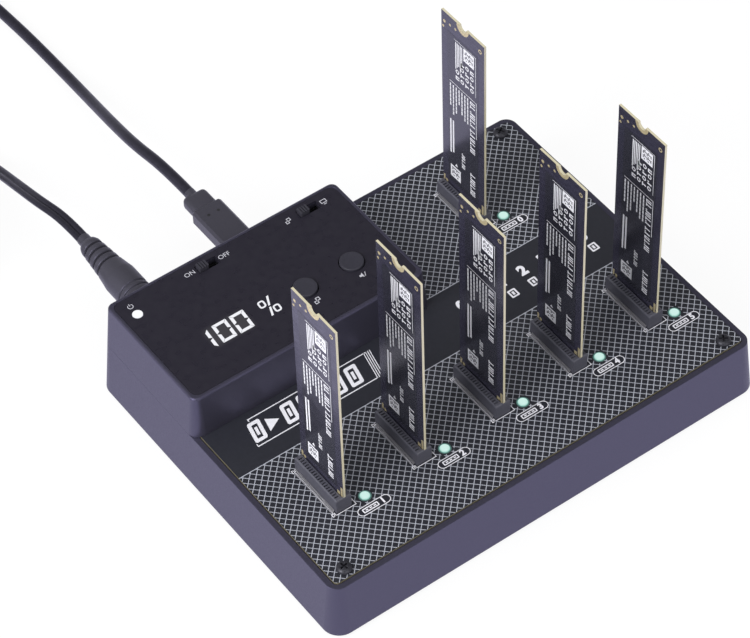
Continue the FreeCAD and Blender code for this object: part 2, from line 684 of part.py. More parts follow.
def contact_comb(name, x, y, side):
    """One row of solder legs on a strip that stands against the socket's foot."""
    body = new_body(name, x, y, BOARD_TOP)
    wall = f"({side} * Sizes.socket_thickness / 2 - Sizes.socket_shift)"
    strip = new_sketch(body, "strip")
    span = "(Sizes.leg_count * Sizes.leg_pitch)"
    draw_rectangle(strip, f"({wall} + {side} * Sizes.comb_thickness / 2)", "0",
                   "Sizes.comb_thickness", span)
    pad(body, strip, "Sizes.comb_height")
    leg = new_sketch(body, "leg")
    first = "((1 - Sizes.leg_count) * Sizes.leg_pitch / 2)"
    draw_rectangle(leg, f"({wall} + {side} * Sizes.leg_reach / 2)", first, "Sizes.leg_reach",
                   "Sizes.leg_width")
    legs = pad(body, leg, "Sizes.leg_height")
    doc.recompute()
    repeat(body, legs, leg, "Sizes.leg_pitch", "Sizes.leg_count")
    return body


def socket_contacts():
    """The solder legs on both sides of every socket."""
    pieces = []
    for name, x, y in CARDS:
        pieces.append(contact_comb(f"{name}_comb_front", x, y, "(0 - 1)"))
        pieces.append(contact_comb(f"{name}_comb_back", x, y, "1"))
    keep("socket_contacts", group("socket_contacts", pieces))


def status_lights():
    """One small light beside each socket."""
    pieces = [
        block(f"{name}_light", f"({x} + Sizes.light_ahead)", f"({y} - Sizes.light_side)", BOARD_TOP,
              "Sizes.light_length", "Sizes.light_width", "Sizes.light_height")
        for name, x, y in CARDS
    ]
    keep("status_lights", group("status_lights", pieces))


# Drive cards

def drive_card(name, x, y):
    """The card: shoulders, key notch at its contact edge, half-round notch at its top."""
    body = new_body(f"{name}_drive_card", x, y, f"({BOARD_TOP} + Sizes.card_seat)")
    half = "(Sizes.card_width / 2)"
    edge = "(Sizes.card_edge_width / 2)"
    key_low = "(0 - Sizes.key_place - Sizes.key_width / 2)"
    key_high = "(0 - Sizes.key_place + Sizes.key_width / 2)"
    outline = new_sketch(body, "outline", "YZ_Plane", "0 - Sizes.card_thickness / 2")
    draw_outline(outline, (
        (f"(0 - {edge})", "0"),
        (key_low, "0"),
        (key_low, "Sizes.key_depth"),
        (key_high, "Sizes.key_depth"),
        (key_high, "0"),
        (edge, "0"),
        (edge, "Sizes.card_shoulder"),
        (half, "Sizes.card_shoulder"),
        (half, "Sizes.card_length"),
        (f"(0 - {half})", "Sizes.card_length"),
        (f"(0 - {half})", "Sizes.card_shoulder"),
        (f"(0 - {edge})", "Sizes.card_shoulder"),
    ))
    pad(body, outline, "Sizes.card_thickness")
    notch = new_sketch(body, "notch", "YZ_Plane", "Sizes.card_thickness / 2")
    draw_circle(notch, "0", "Sizes.card_length", "Sizes.card_notch_radius")
    pocket(body, notch, "Sizes.card_thickness")
    keep(f"{name}_drive_card", body)


def drive_chips(name, x, y):
    """Controller and two memory chips on the side away from the head."""
    face = f"({x} + Sizes.card_thickness / 2 + Sizes.chip_thickness / 2)"
    low = f"({BOARD_TOP} + Sizes.card_seat)"
    pieces = [
        block(f"{name}_controller", face, y, f"({low} + Sizes.processor_low)", "Sizes.chip_thickness",
              "Sizes.processor_side", "Sizes.processor_side")
    ]
    for index in range(2):
        level = f"({low} + Sizes.memory_low + {index} * Sizes.memory_pitch)"
        pieces.append(block(f"{name}_memory_{index}", face, y, level, "Sizes.chip_thickness",
                            "Sizes.memory_width", "Sizes.memory_length"))
    keep(f"{name}_drive_chips", group(f"{name}_drive_chips", pieces))


# Control head

def head_shell():
    """The drafted cover: rounded upper edge, overlay recess, openings, bosses, posts."""
    body = new_body("head_shell")
    foot = new_sketch(body, "foot", offset=RIM)
    draw_rounded(foot, HEAD_X, HEAD_Y, "Sizes.head_length", "Sizes.head_width", "Sizes.corner_radius")
    pad(body, foot, "Sizes.head_height", lean=HEAD_LEAN)
    top = value(HEAD_TOP)
    round_edges(body, lambda edge: edge.BoundBox.ZMin > top - 1e-4, "Sizes.head_edge")
    inside = new_sketch(body, "inside", offset=RIM)
    draw_rounded(inside, HEAD_X, HEAD_Y, "(Sizes.head_length - 2 * Sizes.head_wall)",
                 "(Sizes.head_width - 2 * Sizes.head_wall)", "Sizes.corner_radius / 2")
    depth = f"({CEILING} - {RIM})"
    pocket(body, inside, depth, up=True, lean=f"({SLOPE} * {depth})")
    over_board = new_sketch(body, "over_board", offset=RIM)
    board_left = f"(0 - {OPENING_LENGTH} / 2)"
    board_back = f"({OPENING_BREADTH} / 2)"
    past_right = f"({HEAD_RIGHT} + Sizes.head_wall)"
    past_front = f"({HEAD_FRONT} - Sizes.head_wall)"
    draw_outline(over_board, ((board_left, past_front), (past_right, past_front),
                              (past_right, board_back), (board_left, board_back)))
    pocket(body, over_board, "Sizes.board_proud", up=True)
    bosses = new_sketch(body, "bosses", offset=BOARD_TOP)
    for x, y in BOSSES:
        draw_circle(bosses, x, y, "Sizes.boss_radius")
    pad(body, bosses, f"{CEILING} - {BOARD_TOP}").AllowMultiFace = True
    posts = new_sketch(body, "posts", offset=PANEL_TOP)
    for x, y in PANEL_POSTS:
        draw_circle(posts, x, y, "Sizes.panel_post_radius")
    pad(body, posts, f"{CEILING} - {PANEL_TOP}").AllowMultiFace = True
    bores = new_sketch(body, "boss_bores", offset=BOARD_TOP)
    for x, y in BOSSES:
        draw_circle(bores, x, y, "Sizes.screw_radius + Sizes.screw_clearance / 2")
    pocket(body, bores, "Sizes.case_screw_grip + Sizes.head_wall / 2", up=True)
    post_bores = new_sketch(body, "post_bores", offset=PANEL_TOP)
    for x, y in PANEL_POSTS:
        draw_circle(post_bores, x, y, "Sizes.panel_screw_radius + Sizes.screw_clearance / 2")
    pocket(body, post_bores, "Sizes.panel_screw_grip + Sizes.screw_clearance", up=True)
    recess = new_sketch(body, "overlay_recess", offset=HEAD_TOP)
    inset = f"({HEAD_LEAN} + Sizes.overlay_inset)"
    draw_rounded(recess, HEAD_X, HEAD_Y, f"(Sizes.head_length - 2 * {inset})",
                 f"(Sizes.head_width - 2 * {inset})", "Sizes.overlay_corner")
    pocket(body, recess, "Sizes.overlay_thickness")
    openings = new_sketch(body, "openings", offset=HEAD_TOP)
    head_openings(openings)
    draw_rectangle(openings, *DISPLAY, "(Sizes.display_length + 2 * Sizes.display_gap)",
                   "(Sizes.display_width + 2 * Sizes.display_gap)")
    pocket(body, openings, f"{HEAD_TOP} - {CEILING}").AllowMultiFace = True
    jack = new_sketch(body, "jack_hole", "XZ_Plane", f"0 - {HEAD_BACK} - Sizes.head_wall")
    draw_circle(jack, JACK_X, JACK_Z, "Sizes.jack_nose_radius + Sizes.seat_clearance")
    pocket(body, jack, f"{HEAD_BACK} + Sizes.head_wall - {WALL_INSIDE} + Sizes.head_wall / 2", up=True)
    port = new_sketch(body, "port_notch", "XZ_Plane", f"0 - {HEAD_BACK} - Sizes.head_wall")
    notch_height = f"({BOARD_TOP} + {PORT_HEIGHT} + Sizes.seat_clearance - {RIM})"
    draw_rectangle(port, PORT_X, f"({RIM} + {notch_height} / 2)",
                   f"({PORT_WIDTH} + 2 * Sizes.seat_clearance)", notch_height)
    pocket(body, port, f"{HEAD_BACK} + Sizes.head_wall - {WALL_INSIDE} + Sizes.head_wall / 2", up=True)
    keep("head_shell", body)


def head_openings(sketch):
    """Switch slots, button holes and the power light's hole, as the overlay has them too."""
    for x in SWITCHES.values():
        draw_rectangle(sketch, x, CONTROL_ROW, "Sizes.slot_length", "Sizes.slot_width")
    for x in BUTTONS.values():
        draw_circle(sketch, x, BUTTON_ROW, "Sizes.button_radius + Sizes.button_gap")
    draw_circle(sketch, *POWER_LIGHT, "Sizes.power_light_radius + Sizes.seat_clearance")


def top_overlay():
    """The flat overlay in the head's recess, closed over the display."""
    body = new_body("top_overlay", z=f"({HEAD_TOP} - Sizes.overlay_thickness)")
    outline = new_sketch(body, "outline")
    inset = f"({HEAD_LEAN} + Sizes.overlay_inset + Sizes.overlay_gap)"
    draw_rounded(outline, HEAD_X, HEAD_Y, f"(Sizes.head_length - 2 * {inset})",
                 f"(Sizes.head_width - 2 * {inset})", "Sizes.overlay_corner - Sizes.overlay_gap")
    pad(body, outline, "Sizes.overlay_thickness")
    openings = new_sketch(body, "openings", offset="Sizes.overlay_thickness")
    head_openings(openings)
    pocket(body, openings, "Sizes.overlay_thickness").AllowMultiFace = True
    keep("top_overlay", body)


def control_board():
    """The board under the head's top, cut back round the power jack."""
    body = new_body("control_board", z=PANEL_UNDER)
    outline = new_sketch(body, "outline")
    room = "(2 * Sizes.seat_clearance + Sizes.card_clearance)"
    jack_right = f"({JACK_X} + Sizes.jack_width / 2 + {room})"
    jack_front = f"({WALL_INSIDE} - Sizes.jack_length - {room})"
    draw_outline(outline, ((PANEL_LEFT, PANEL_FRONT), (PANEL_RIGHT, PANEL_FRONT),
                           (PANEL_RIGHT, PANEL_BACK), (jack_right, PANEL_BACK),
                           (jack_right, jack_front), (PANEL_LEFT, jack_front)))
    pad(body, outline, "Sizes.panel_thickness")
    holes = new_sketch(body, "holes", offset="Sizes.panel_thickness")
    for x, y in PANEL_POSTS:
        draw_circle(holes, x, y, "Sizes.panel_screw_radius + Sizes.screw_clearance")
    pocket(body, holes, "Sizes.panel_thickness")
    keep("control_board", body)


def control_board_screws():
    """Four small screws from below into the head's posts."""
    length = "(Sizes.panel_thickness + Sizes.panel_screw_grip)"
    pieces = [
        screw(f"panel_screw_{i}", x, y, PANEL_UNDER, length, "Sizes.panel_screw_radius",
              "Sizes.panel_screw_head", "Sizes.panel_screw_rise", head_up=False)
        for i, (x, y) in enumerate(PANEL_POSTS)
    ]
    keep("control_board_screws", group("control_board_screws", pieces))


def display_module():
    """The numeric display, standing on the control board up to the overlay."""
    height = f"({HEAD_TOP} - Sizes.overlay_thickness - Sizes.overlay_gap - {PANEL_TOP})"
    keep("display_module", block("display_module", *DISPLAY, PANEL_TOP, "Sizes.display_length",
                                 "Sizes.display_width", height))


def power_light():
    """A light pipe from the main board up to the overlay's face."""
    height = f"({HEAD_TOP} - {BOARD_TOP})"
    keep("power_light", rod("power_light", *POWER_LIGHT, BOARD_TOP, "Sizes.power_light_radius", height))


def switch_case(name, x):
    """The slide switch's case with the well that its knob runs in."""
    shell = block(f"{name}_block", x, CONTROL_ROW, PANEL_TOP, "Sizes.switch_case_length",
                  "Sizes.switch_case_width", "Sizes.switch_case_height")
    level = f"({PANEL_TOP} + Sizes.switch_case_height - Sizes.switch_well)"
    well = block(f"{name}_well", x, CONTROL_ROW, level, "Sizes.slot_length", "Sizes.slot_width",
                 "Sizes.switch_well")
    keep(f"{name}_case", cut(f"{name}_case", shell, [well]))


def switch_knob(name, x):
    """The knob at the left end of its slot, ridged across its top."""
    level = f"({PANEL_TOP} + Sizes.switch_case_height - Sizes.switch_well + Sizes.seat_clearance)"
    left = f"({x} - Sizes.knob_travel / 2)"
    body = new_body(f"{name}_knob", left, CONTROL_ROW, level)
    outline = new_sketch(body, "outline")
    draw_rounded(outline, "0", "0", "Sizes.knob_length", "Sizes.knob_width", "Sizes.knob_width / 8")
    height = f"({HEAD_TOP} + Sizes.knob_rise - {level})"
    pad(body, outline, height)
    groove = new_sketch(body, "groove", "XZ_Plane", "0 - Sizes.knob_width")
    width = "(Sizes.knob_length / 9)"
    first = f"(0 - Sizes.knob_length / 4)"
    draw_rectangle(groove, first, height, width, f"2 * {width}")
    cut_out = pocket(body, groove, "2 * Sizes.knob_width", up=True)
    repeat(body, cut_out, groove, "Sizes.knob_length / 4", "3", "H_Axis")
    keep(f"{name}_knob", body)


def push_button(name, x):
    """A round cap with a flange that keeps it under the head's top."""
    flange_top = f"({CEILING} - Sizes.seat_clearance)"
    level = f"({flange_top} - Sizes.button_flange_height)"
    body = new_body(f"{name}_button", x, BUTTON_ROW, level)
    flange = new_sketch(body, "flange")
    draw_circle(flange, "0", "0", "Sizes.button_radius + Sizes.button_flange")
    pad(body, flange, "Sizes.button_flange_height")
    cap = new_sketch(body, "cap")
    draw_circle(cap, "0", "0", "Sizes.button_radius")
    height = f"({HEAD_TOP} + Sizes.button_rise - {level})"
    pad(body, cap, height)
    top = value(height)
    round_edges(body, lambda edge: edge.BoundBox.ZMin > top - 1e-4, "Sizes.button_edge", "Chamfer")
    keep(f"{name}_button", body)
    plunger_low = f"({PANEL_TOP} + Sizes.tact_height - Sizes.plunger_sink)"
    plunger = rod(f"{name}_plunger", x, BUTTON_ROW, plunger_low, "Sizes.plunger_radius",
                  f"{level} - {plunger_low}")
    keep(f"{name}_plunger", plunger)


def push_switches():
    """Two push-switch bodies on the control board, each with its plunger's well."""
    pieces = []
    depth = "(Sizes.plunger_sink + Sizes.button_travel + Sizes.seat_clearance)"
    for name, x in BUTTONS.items():
        shell = block(f"{name}_tact_block", x, BUTTON_ROW, PANEL_TOP, "Sizes.tact_side",
                      "Sizes.tact_side", "Sizes.tact_height")
        well = rod(f"{name}_tact_well", x, BUTTON_ROW, f"({PANEL_TOP} + Sizes.tact_height - {depth})",
                   "Sizes.plunger_radius + Sizes.button_gap", depth)
        pieces.append(cut(f"{name}_tact", shell, [well]))
    keep("push_switches", group("push_switches", pieces))


# What stands on the main board under the head

def power_jack():
    """The power jack: block and round nose with a bore, and its centre pin."""
    front = f"({WALL_INSIDE} - Sizes.seat_clearance)"
    back = f"({front} - Sizes.jack_length)"
    nose = f"({JACK_WALL} - Sizes.seat_clearance)"
    shell = block("jack_block", JACK_X, f"({front} - Sizes.jack_length / 2)", BOARD_TOP,
                  "Sizes.jack_width", "Sizes.jack_length", "Sizes.jack_height")
    collar = rod("jack_nose", JACK_X, back, JACK_Z, "Sizes.jack_nose_radius", f"{nose} - {back}", "Y")
    bore_start = f"({back} + Sizes.head_wall)"
    bore = rod("jack_bore", JACK_X, bore_start, JACK_Z, "Sizes.jack_bore_radius",
               f"{nose} - {bore_start} + Sizes.head_wall", "Y")
    keep("power_jack", cut("power_jack", fuse("jack_solid", [shell, collar]), [bore]))
    pin = rod("power_jack_pin", JACK_X, bore_start, JACK_Z, "Sizes.jack_pin_radius",
              f"{nose} - {bore_start} - Sizes.head_wall", "Y")
    keep("power_jack_pin", pin)


def data_port():
    """The data port: a flat rounded metal shell with its tongue."""
    outer = f"({PORT_WALL} - Sizes.seat_clearance)"
    body = new_body("data_port", PORT_X, outer, PORT_Z)
    outline = new_sketch(body, "outline", "XZ_Plane")
    draw_rounded(outline, "0", "0", PORT_WIDTH, PORT_HEIGHT, f"{PORT_HEIGHT} * 0.45")
    pad(body, outline, "Sizes.port_length")
    inside = new_sketch(body, "inside", "XZ_Plane")
    width = "(Sizes.data_shell_width + 2 * Sizes.port_play)"
    height = "(Sizes.data_shell_thickness + 2 * Sizes.port_play)"
    draw_rounded(inside, "0", "0", width, height, f"{height} * 0.45")
    pocket(body, inside, "Sizes.port_length - 3 * Sizes.port_wall", up=True)
    tongue = new_sketch(body, "tongue", "XZ_Plane", "Sizes.port_length - 3 * Sizes.port_wall")
    draw_rectangle(tongue, "0", "0", "Sizes.tongue_width", "Sizes.tongue_thickness")
    pad(body, tongue, "Sizes.port_length - 6 * Sizes.port_wall", down=True)
    keep("data_port", body)


def inner_parts():
    """Header, controller chips, inductors, capacitors and buzzer under the head."""
    keep("board_header", block("board_header", f"({PORT_X} - Sizes.header_from_port)",
                               f"({HEAD_BACK} - Sizes.header_back)", BOARD_TOP, "Sizes.header_length",
                               "Sizes.header_width", "Sizes.panel_level"))
    main_x = f"({HEAD_X} + Sizes.main_chip_right)"
    bridge_x = f"({main_x} + Sizes.bridge_chip_right)"
    chips = [
        block("main_controller", main_x, f"({HEAD_Y} - Sizes.chip_row)", BOARD_TOP,
              "Sizes.main_chip_side", "Sizes.main_chip_side", "Sizes.chip_thickness"),
        block("bridge_controller", bridge_x, f"({HEAD_Y} - Sizes.chip_row)", BOARD_TOP,
              "Sizes.bridge_chip_side", "Sizes.bridge_chip_side", "Sizes.chip_thickness"),
        block("memory_chip", bridge_x, f"({HEAD_Y} + Sizes.chip_row)", BOARD_TOP,
              "Sizes.small_chip_length", "Sizes.small_chip_width", "Sizes.chip_thickness"),
    ]
    keep("controller_chips", group("controller_chips", chips))
    coils = [
        block(f"inductor_{i}", f"({HEAD_X} - Sizes.supply_left + {i} * Sizes.supply_pitch)",
              f"({HEAD_Y} - Sizes.inductor_row)", BOARD_TOP, "Sizes.inductor_side",
              "Sizes.inductor_side", "Sizes.inductor_height")
        for i in range(3)
    ]
    keep("power_inductors", group("power_inductors", coils))
    cans = [
        rod(f"capacitor_{i}", f"({HEAD_X} - Sizes.supply_left + {i} * Sizes.supply_pitch)",
            f"({HEAD_BACK} - Sizes.capacitor_back)", BOARD_TOP, "Sizes.capacitor_radius",
            "Sizes.capacitor_height")
        for i in range(3)
    ]
    keep("filter_capacitors", group("filter_capacitors", cans))
    keep("buzzer", rod("buzzer", f"({HEAD_X} - Sizes.buzzer_left)", f"({HEAD_FRONT} + Sizes.buzzer_front)",
                       BOARD_TOP, "Sizes.buzzer_radius", "Sizes.buzzer_height"))


# Plugs

def power_plug():
    """A turned barrel plug body: grip grooves, cone and ribbed relief."""
    start = f"({HEAD_BACK} + Sizes.plug_gap)"
    body = new_body("power_plug_body", JACK_X, start, JACK_Z)
    profile = new_sketch(body, "profile", "YZ_Plane")
    radius = "Sizes.power_plug_radius"
    straight = "Sizes.power_plug_straight"
    cone_end = f"({straight} + Sizes.power_plug_cone)"
    rib = "(Sizes.power_plug_relief / (2 * Sizes.relief_ribs))"
    corners = [("0", "0"), ("0", radius)]
    for ring in range(3):
        near = f"({straight} * (0.18 + {ring} * 0.12))"
        ring_width = "(Sizes.power_plug_straight / 24)"
        corners += [
            (near, radius),
            (f"({near} + {ring_width} / 2)", f"({radius} - {ring_width})"),
            (f"({near} + {ring_width})", radius),
        ]
    corners += [(straight, radius), (cone_end, "Sizes.relief_radius")]
    count = int(value("Sizes.relief_ribs"))
    core = "(Sizes.lead_width / 2 + Sizes.seat_clearance)"
    for index in range(count):
        low = f"({cone_end} + {2 * index} * {rib})"
        crest = f"({core} + (Sizes.relief_radius - {core}) * {count - index} / {count})"
        if index:
            corners.append((low, crest))
        corners += [(f"({low} + {rib})", crest), (f"({low} + {rib})", core),
                    (f"({low} + 2 * {rib})", core)]
    corners.append((f"({cone_end} + Sizes.power_plug_relief)", "0"))
    draw_outline(profile, corners)
    turned = body.newObject("PartDesign::Revolution", "power_plug_turned")
    turned.Profile = profile
    turned.ReferenceAxis = (profile, ["H_Axis"])
    keep("power_plug_body", body)
    deep = f"({start} - Sizes.plug_gap - Sizes.barrel_length)"
    tube = rod("barrel_tube", JACK_X, deep, JACK_Z, "Sizes.barrel_radius", f"{start} - {deep}", "Y")
    hollow = rod("barrel_hollow", JACK_X, deep, JACK_Z, "Sizes.barrel_bore",
                 "Sizes.barrel_length - Sizes.plug_gap", "Y")
    keep("power_plug_barrel", cut("power_plug_barrel", tube, [hollow]))


def data_plug():
    """The flat moulded data plug with its tapered collar, and its metal shell."""
    start = f"({HEAD_BACK} + Sizes.plug_gap)"
    body = new_body("data_plug_body", PORT_X, start, PORT_Z)
    outline = new_sketch(body, "outline", "XZ_Plane")
    thick = "Sizes.data_body_thickness"
    draw_rounded(outline, "0", "0", "Sizes.data_body_width", thick, f"{thick} * 0.3")
    pad(body, outline, "Sizes.data_body_length", down=True)
    near = new_sketch(body, "collar_near", "XZ_Plane", "0 - Sizes.data_body_length")
    draw_rounded(near, "0", "0", "Sizes.data_collar_width", f"({thick} * 0.9)", f"{thick} * 0.3")
    far = new_sketch(body, "collar_far", "XZ_Plane",
                     "0 - Sizes.data_body_length - Sizes.data_collar_length")
    tip = "(Sizes.cable_diameter + 1)"
    draw_rounded(far, "0", "0", tip, tip, f"{tip} * 0.4")
    loft(body, near, far)
    doc.recompute()
    far_end = value("Sizes.data_body_length")
    collar_side = value("Sizes.data_collar_width") / 2
    collar_top = value(f"{thick} * 0.45")

    def end_rim(edge):
        box = edge.BoundBox
        flat = box.YLength < 1e-4 and abs(box.YMin - far_end) < 1e-4
        wide = max(abs(box.XMin), abs(box.XMax)) > collar_side + 0.1
        high = max(abs(box.ZMin), abs(box.ZMax)) > collar_top + 0.1
        return flat and (wide or high)
    round_edges(body, end_rim, f"{thick} * 0.12")
    keep("data_plug_body", body)
    shell = new_body("data_plug_shell", PORT_X, start, PORT_Z)
    outside = new_sketch(shell, "outside", "XZ_Plane")
    height = "Sizes.data_shell_thickness"
    draw_rounded(outside, "0", "0", "Sizes.data_shell_width", height, f"{height} * 0.45")
    pad(shell, outside, "Sizes.plug_gap + Sizes.data_shell_length")
    inside = new_sketch(shell, "inside", "XZ_Plane", "Sizes.plug_gap + Sizes.data_shell_length")
    draw_rounded(inside, "0", "0", "Sizes.data_shell_width - 2 * Sizes.data_shell_wall",
                 f"{height} - 2 * Sizes.data_shell_wall", f"{height} * 0.25")
    pocket(shell, inside, "Sizes.data_shell_length", up=False)
    keep("data_plug_shell", shell)


# Leads: straight runs joined by tangent arcs, then a neat coil, then the far end

def feature(name, shape):
    """A piece whose shape is worked out from the sheet's sizes in code."""
    piece = doc.addObject("Part::Feature", name)
    piece.Shape = shape
    piece.Placement = FreeCAD.Placement()
    return keep(name, piece)


def rounded_path(name, points):
    """Straight runs joined by arcs of 0.45 of the shorter run over the half turn's tangent."""
    edges = []
    radii = []
    start = points[0]
    for before, corner, after in zip(points, points[1:], points[2:]):
        arrive = (corner - before).normalize()
        leave = (after - corner).normalize()
        half_turn = arrive.getAngle(leave) / 2
        reach = 0.45 * min((corner - before).Length, (after - corner).Length)
        arc_start = corner - arrive * reach
        arc_end = corner + leave * reach
        towards = (leave - arrive).normalize()
        radius = reach / math.tan(half_turn)
        radii.append(round(radius, 1))
        middle = corner + towards * (math.hypot(reach, radius) - radius)
        edges.append(Part.LineSegment(start, arc_start).toShape())
        edges.append(Part.Arc(arc_start, middle, arc_end).toShape())
        start = arc_end
    edges.append(Part.LineSegment(start, points[-1]).toShape())
    print(name, "arc radii:", radii)
    return Part.Wire(edges)


def sweep(path, section):
    """Carry a closed section along a path without twisting it."""
    return path.makePipeShell([section], True, False)


def lead_section(points, width, thickness):
    """The lead's outline at the route's start, eight-sided and pulled apart to its width."""
    along = (points[1] - points[0]).normalize()
    across = along.cross(FreeCAD.Vector(0, 0, 1)).normalize()
    up = across.cross(along)
    start = points[0]
    half, reach = thickness / 2, (width - thickness) / 2
    corners = []
    for side in (1, -1):
        for step in range(5 if reach else 4):
            angle = math.radians(45 * step - 90 * side)
            level = half * math.sin(angle)
            corners.append(start + across * (side * reach + half * math.cos(angle)) + up * level)
    return Part.makePolygon(corners + corners[:1])


def lead_tube(name, points, width, thickness):
    """The lead's stretch that isn't coiled, its volume set against section times length."""
    path = rounded_path(name, points)
    section = lead_section(points, width, thickness)
    tube = sweep(path, section)
    wanted = Part.Face(section).Area * path.Length
    if abs(tube.Volume - wanted) > 0.02 * wanted:
        raise RuntimeError(f"{name} has volume {tube.Volume:.0f}, not {wanted:.0f}")
    print(name, "length", round(path.Length, 1))
    return tube


def coil_ring(middle, turn_radius, across, layers, width, thickness):
    """The outer shape of a neat coil: a ring with rounded edges lying on the surface."""
    half = across * width / 2
    height = layers * thickness
    outer = Part.makeCylinder(turn_radius + half, height, middle)
    inner = Part.makeCylinder(turn_radius - half, height, middle)
    ring = outer.cut(inner)
    rims = [edge for edge in ring.Edges if isinstance(edge.Curve, Part.Circle)]
    return ring.makeChamfer(0.4 * thickness, rims)


LEAD_REST = 0.05
STUB = 17.0


def power_lead():
    """The flat lead from its plug down to the surface, its coil, and the adapter."""
    width, thickness = value("Sizes.lead_width"), value("Sizes.lead_thickness")
    level = thickness / 2 + LEAD_REST
    start = FreeCAD.Vector(value(JACK_X), value(f"{HEAD_BACK} + Sizes.plug_gap + {POWER_PLUG_LENGTH}"),
                           value(JACK_Z))
    route = [start] + [FreeCAD.Vector(*point) for point in (
        (start.x, 109.0, start.z), (-67.0, 122.0, 26.2), (-66.4, 135.5, 21.2), (-64.9, 149.0, 14.6),
        (-63.4, 162.5, 7.8), (-62.2, 175.0, 2.6), (-61.6, 187.0, level), (-61.6, 198.0, level))]
    feature("power_lead", lead_tube("power_lead", route, width, thickness))
    turn, across = value("Sizes.lead_coil_radius"), int(value("Sizes.lead_coil_across"))
    layers = int(value("Sizes.lead_coil_layers"))
    outer = turn + (across - 1) * width / 2
    end = route[-1]
    middle = FreeCAD.Vector(end.x - outer, end.y + STUB, LEAD_REST)
    ring = coil_ring(middle, turn, across, layers, width, thickness)
    arriving = [end, end + FreeCAD.Vector(0, STUB, 0)]
    top = LEAD_REST + (layers - 0.5) * thickness
    leaving = [FreeCAD.Vector(middle.x - outer, middle.y, top),
               FreeCAD.Vector(middle.x - outer, middle.y - STUB, top)]
    stubs = [sweep(Part.Wire(Part.LineSegment(*pair).toShape()), lead_section(pair, width, thickness))
             for pair in (arriving, leaving)]
    feature("power_lead_coil", ring.fuse(stubs).removeSplitter())
    power_adapter(leaving[1])


def power_adapter(entry):
    """The plug-in adapter lying on its side, its relief at the lead's end, two flat blades."""
    body = new_body("power_adapter", entry.x, entry.y, entry.z)
    near = new_sketch(body, "relief_tip", "XZ_Plane")
    draw_circle(near, "0", "0", "(Sizes.lead_width / 2 + Sizes.seat_clearance)")
    far = new_sketch(body, "relief_root", "XZ_Plane", "Sizes.adapter_relief")
    draw_circle(far, "0", "0", "Sizes.relief_radius")
    loft(body, near, far)
    case = new_sketch(body, "case", "XZ_Plane", "Sizes.adapter_relief")
    draw_rounded(case, "0", f"(Sizes.adapter_height / 2 - {entry.z})", "Sizes.adapter_width",
                 "Sizes.adapter_height", "Sizes.adapter_corner")
    pad(body, case, "Sizes.adapter_length")
    doc.recompute()
    far_end = -value("Sizes.adapter_relief + Sizes.adapter_length")
    round_edges(body, lambda edge: edge.BoundBox.YMax < far_end + 1e-4, "Sizes.adapter_corner / 3",
                "Chamfer")
    keep("power_adapter", body)
    middle_y = f"({entry.y} - Sizes.adapter_relief - Sizes.adapter_length / 2)"
    blades = [
        block(f"blade_{i}", f"({entry.x} - Sizes.adapter_width / 2 - Sizes.blade_length / 2)",
              f"({middle_y} + {side} * Sizes.blade_pitch / 2)",
              "(Sizes.adapter_height / 2 - Sizes.blade_width / 2)",
              "Sizes.blade_length", "Sizes.blade_thickness", "Sizes.blade_width")
        for i, side in enumerate((-1, 1))
    ]
    keep("adapter_blades", group("adapter_blades", blades))


def data_cable():
    """The round cable from its plug down to the surface, its coil, and the host plug."""
    thickness = value("Sizes.cable_diameter")
    level = thickness / 2 + LEAD_REST
    start = FreeCAD.Vector(value(PORT_X), value(f"{HEAD_BACK} + Sizes.plug_gap + {DATA_PLUG_LENGTH}"),
                           value(PORT_Z))
    route = [start] + [FreeCAD.Vector(*point) for point in (
        (start.x, 112.0, start.z), (-25.4, 129.0, 21.2), (-22.9, 147.0, 15.2), (-19.6, 165.0, 8.2),
        (-17.3, 181.0, 3.4), (-16.7, 196.0, level), (-16.9, 212.0, level), (-17.6, 227.0, level),
        (-18.4, 240.0, level), (-18.4, 252.0, level))]
    feature("data_cable", lead_tube("data_cable", route, thickness, thickness))
    turn, across = value("Sizes.cable_coil_radius"), int(value("Sizes.cable_coil_across"))
    layers = int(value("Sizes.cable_coil_layers"))
    outer = turn + (across - 1) * thickness / 2
    end = route[-1]
    middle = FreeCAD.Vector(end.x - outer, end.y + STUB, LEAD_REST)
    ring = coil_ring(middle, turn, across, layers, thickness, thickness)
    arriving = [end, end + FreeCAD.Vector(0, STUB, 0)]
    stub = sweep(Part.Wire(Part.LineSegment(*arriving).toShape()),
                 lead_section(arriving, thickness, thickness))
    plug_level = value("Sizes.host_body_thickness") / 2
    top = LEAD_REST + (layers - 0.5) * thickness
    leaving = [FreeCAD.Vector(middle.x - along, middle.y + outer, z)
               for along, z in ((0, top), (9, top), (18, plug_level), (27, plug_level))]
    tail = sweep(rounded_path("data_cable_tail", leaving), lead_section(leaving, thickness, thickness))
    feature("data_cable_coil", ring.fuse([stub, tail]).removeSplitter())
    host_plug(leaving[-1])


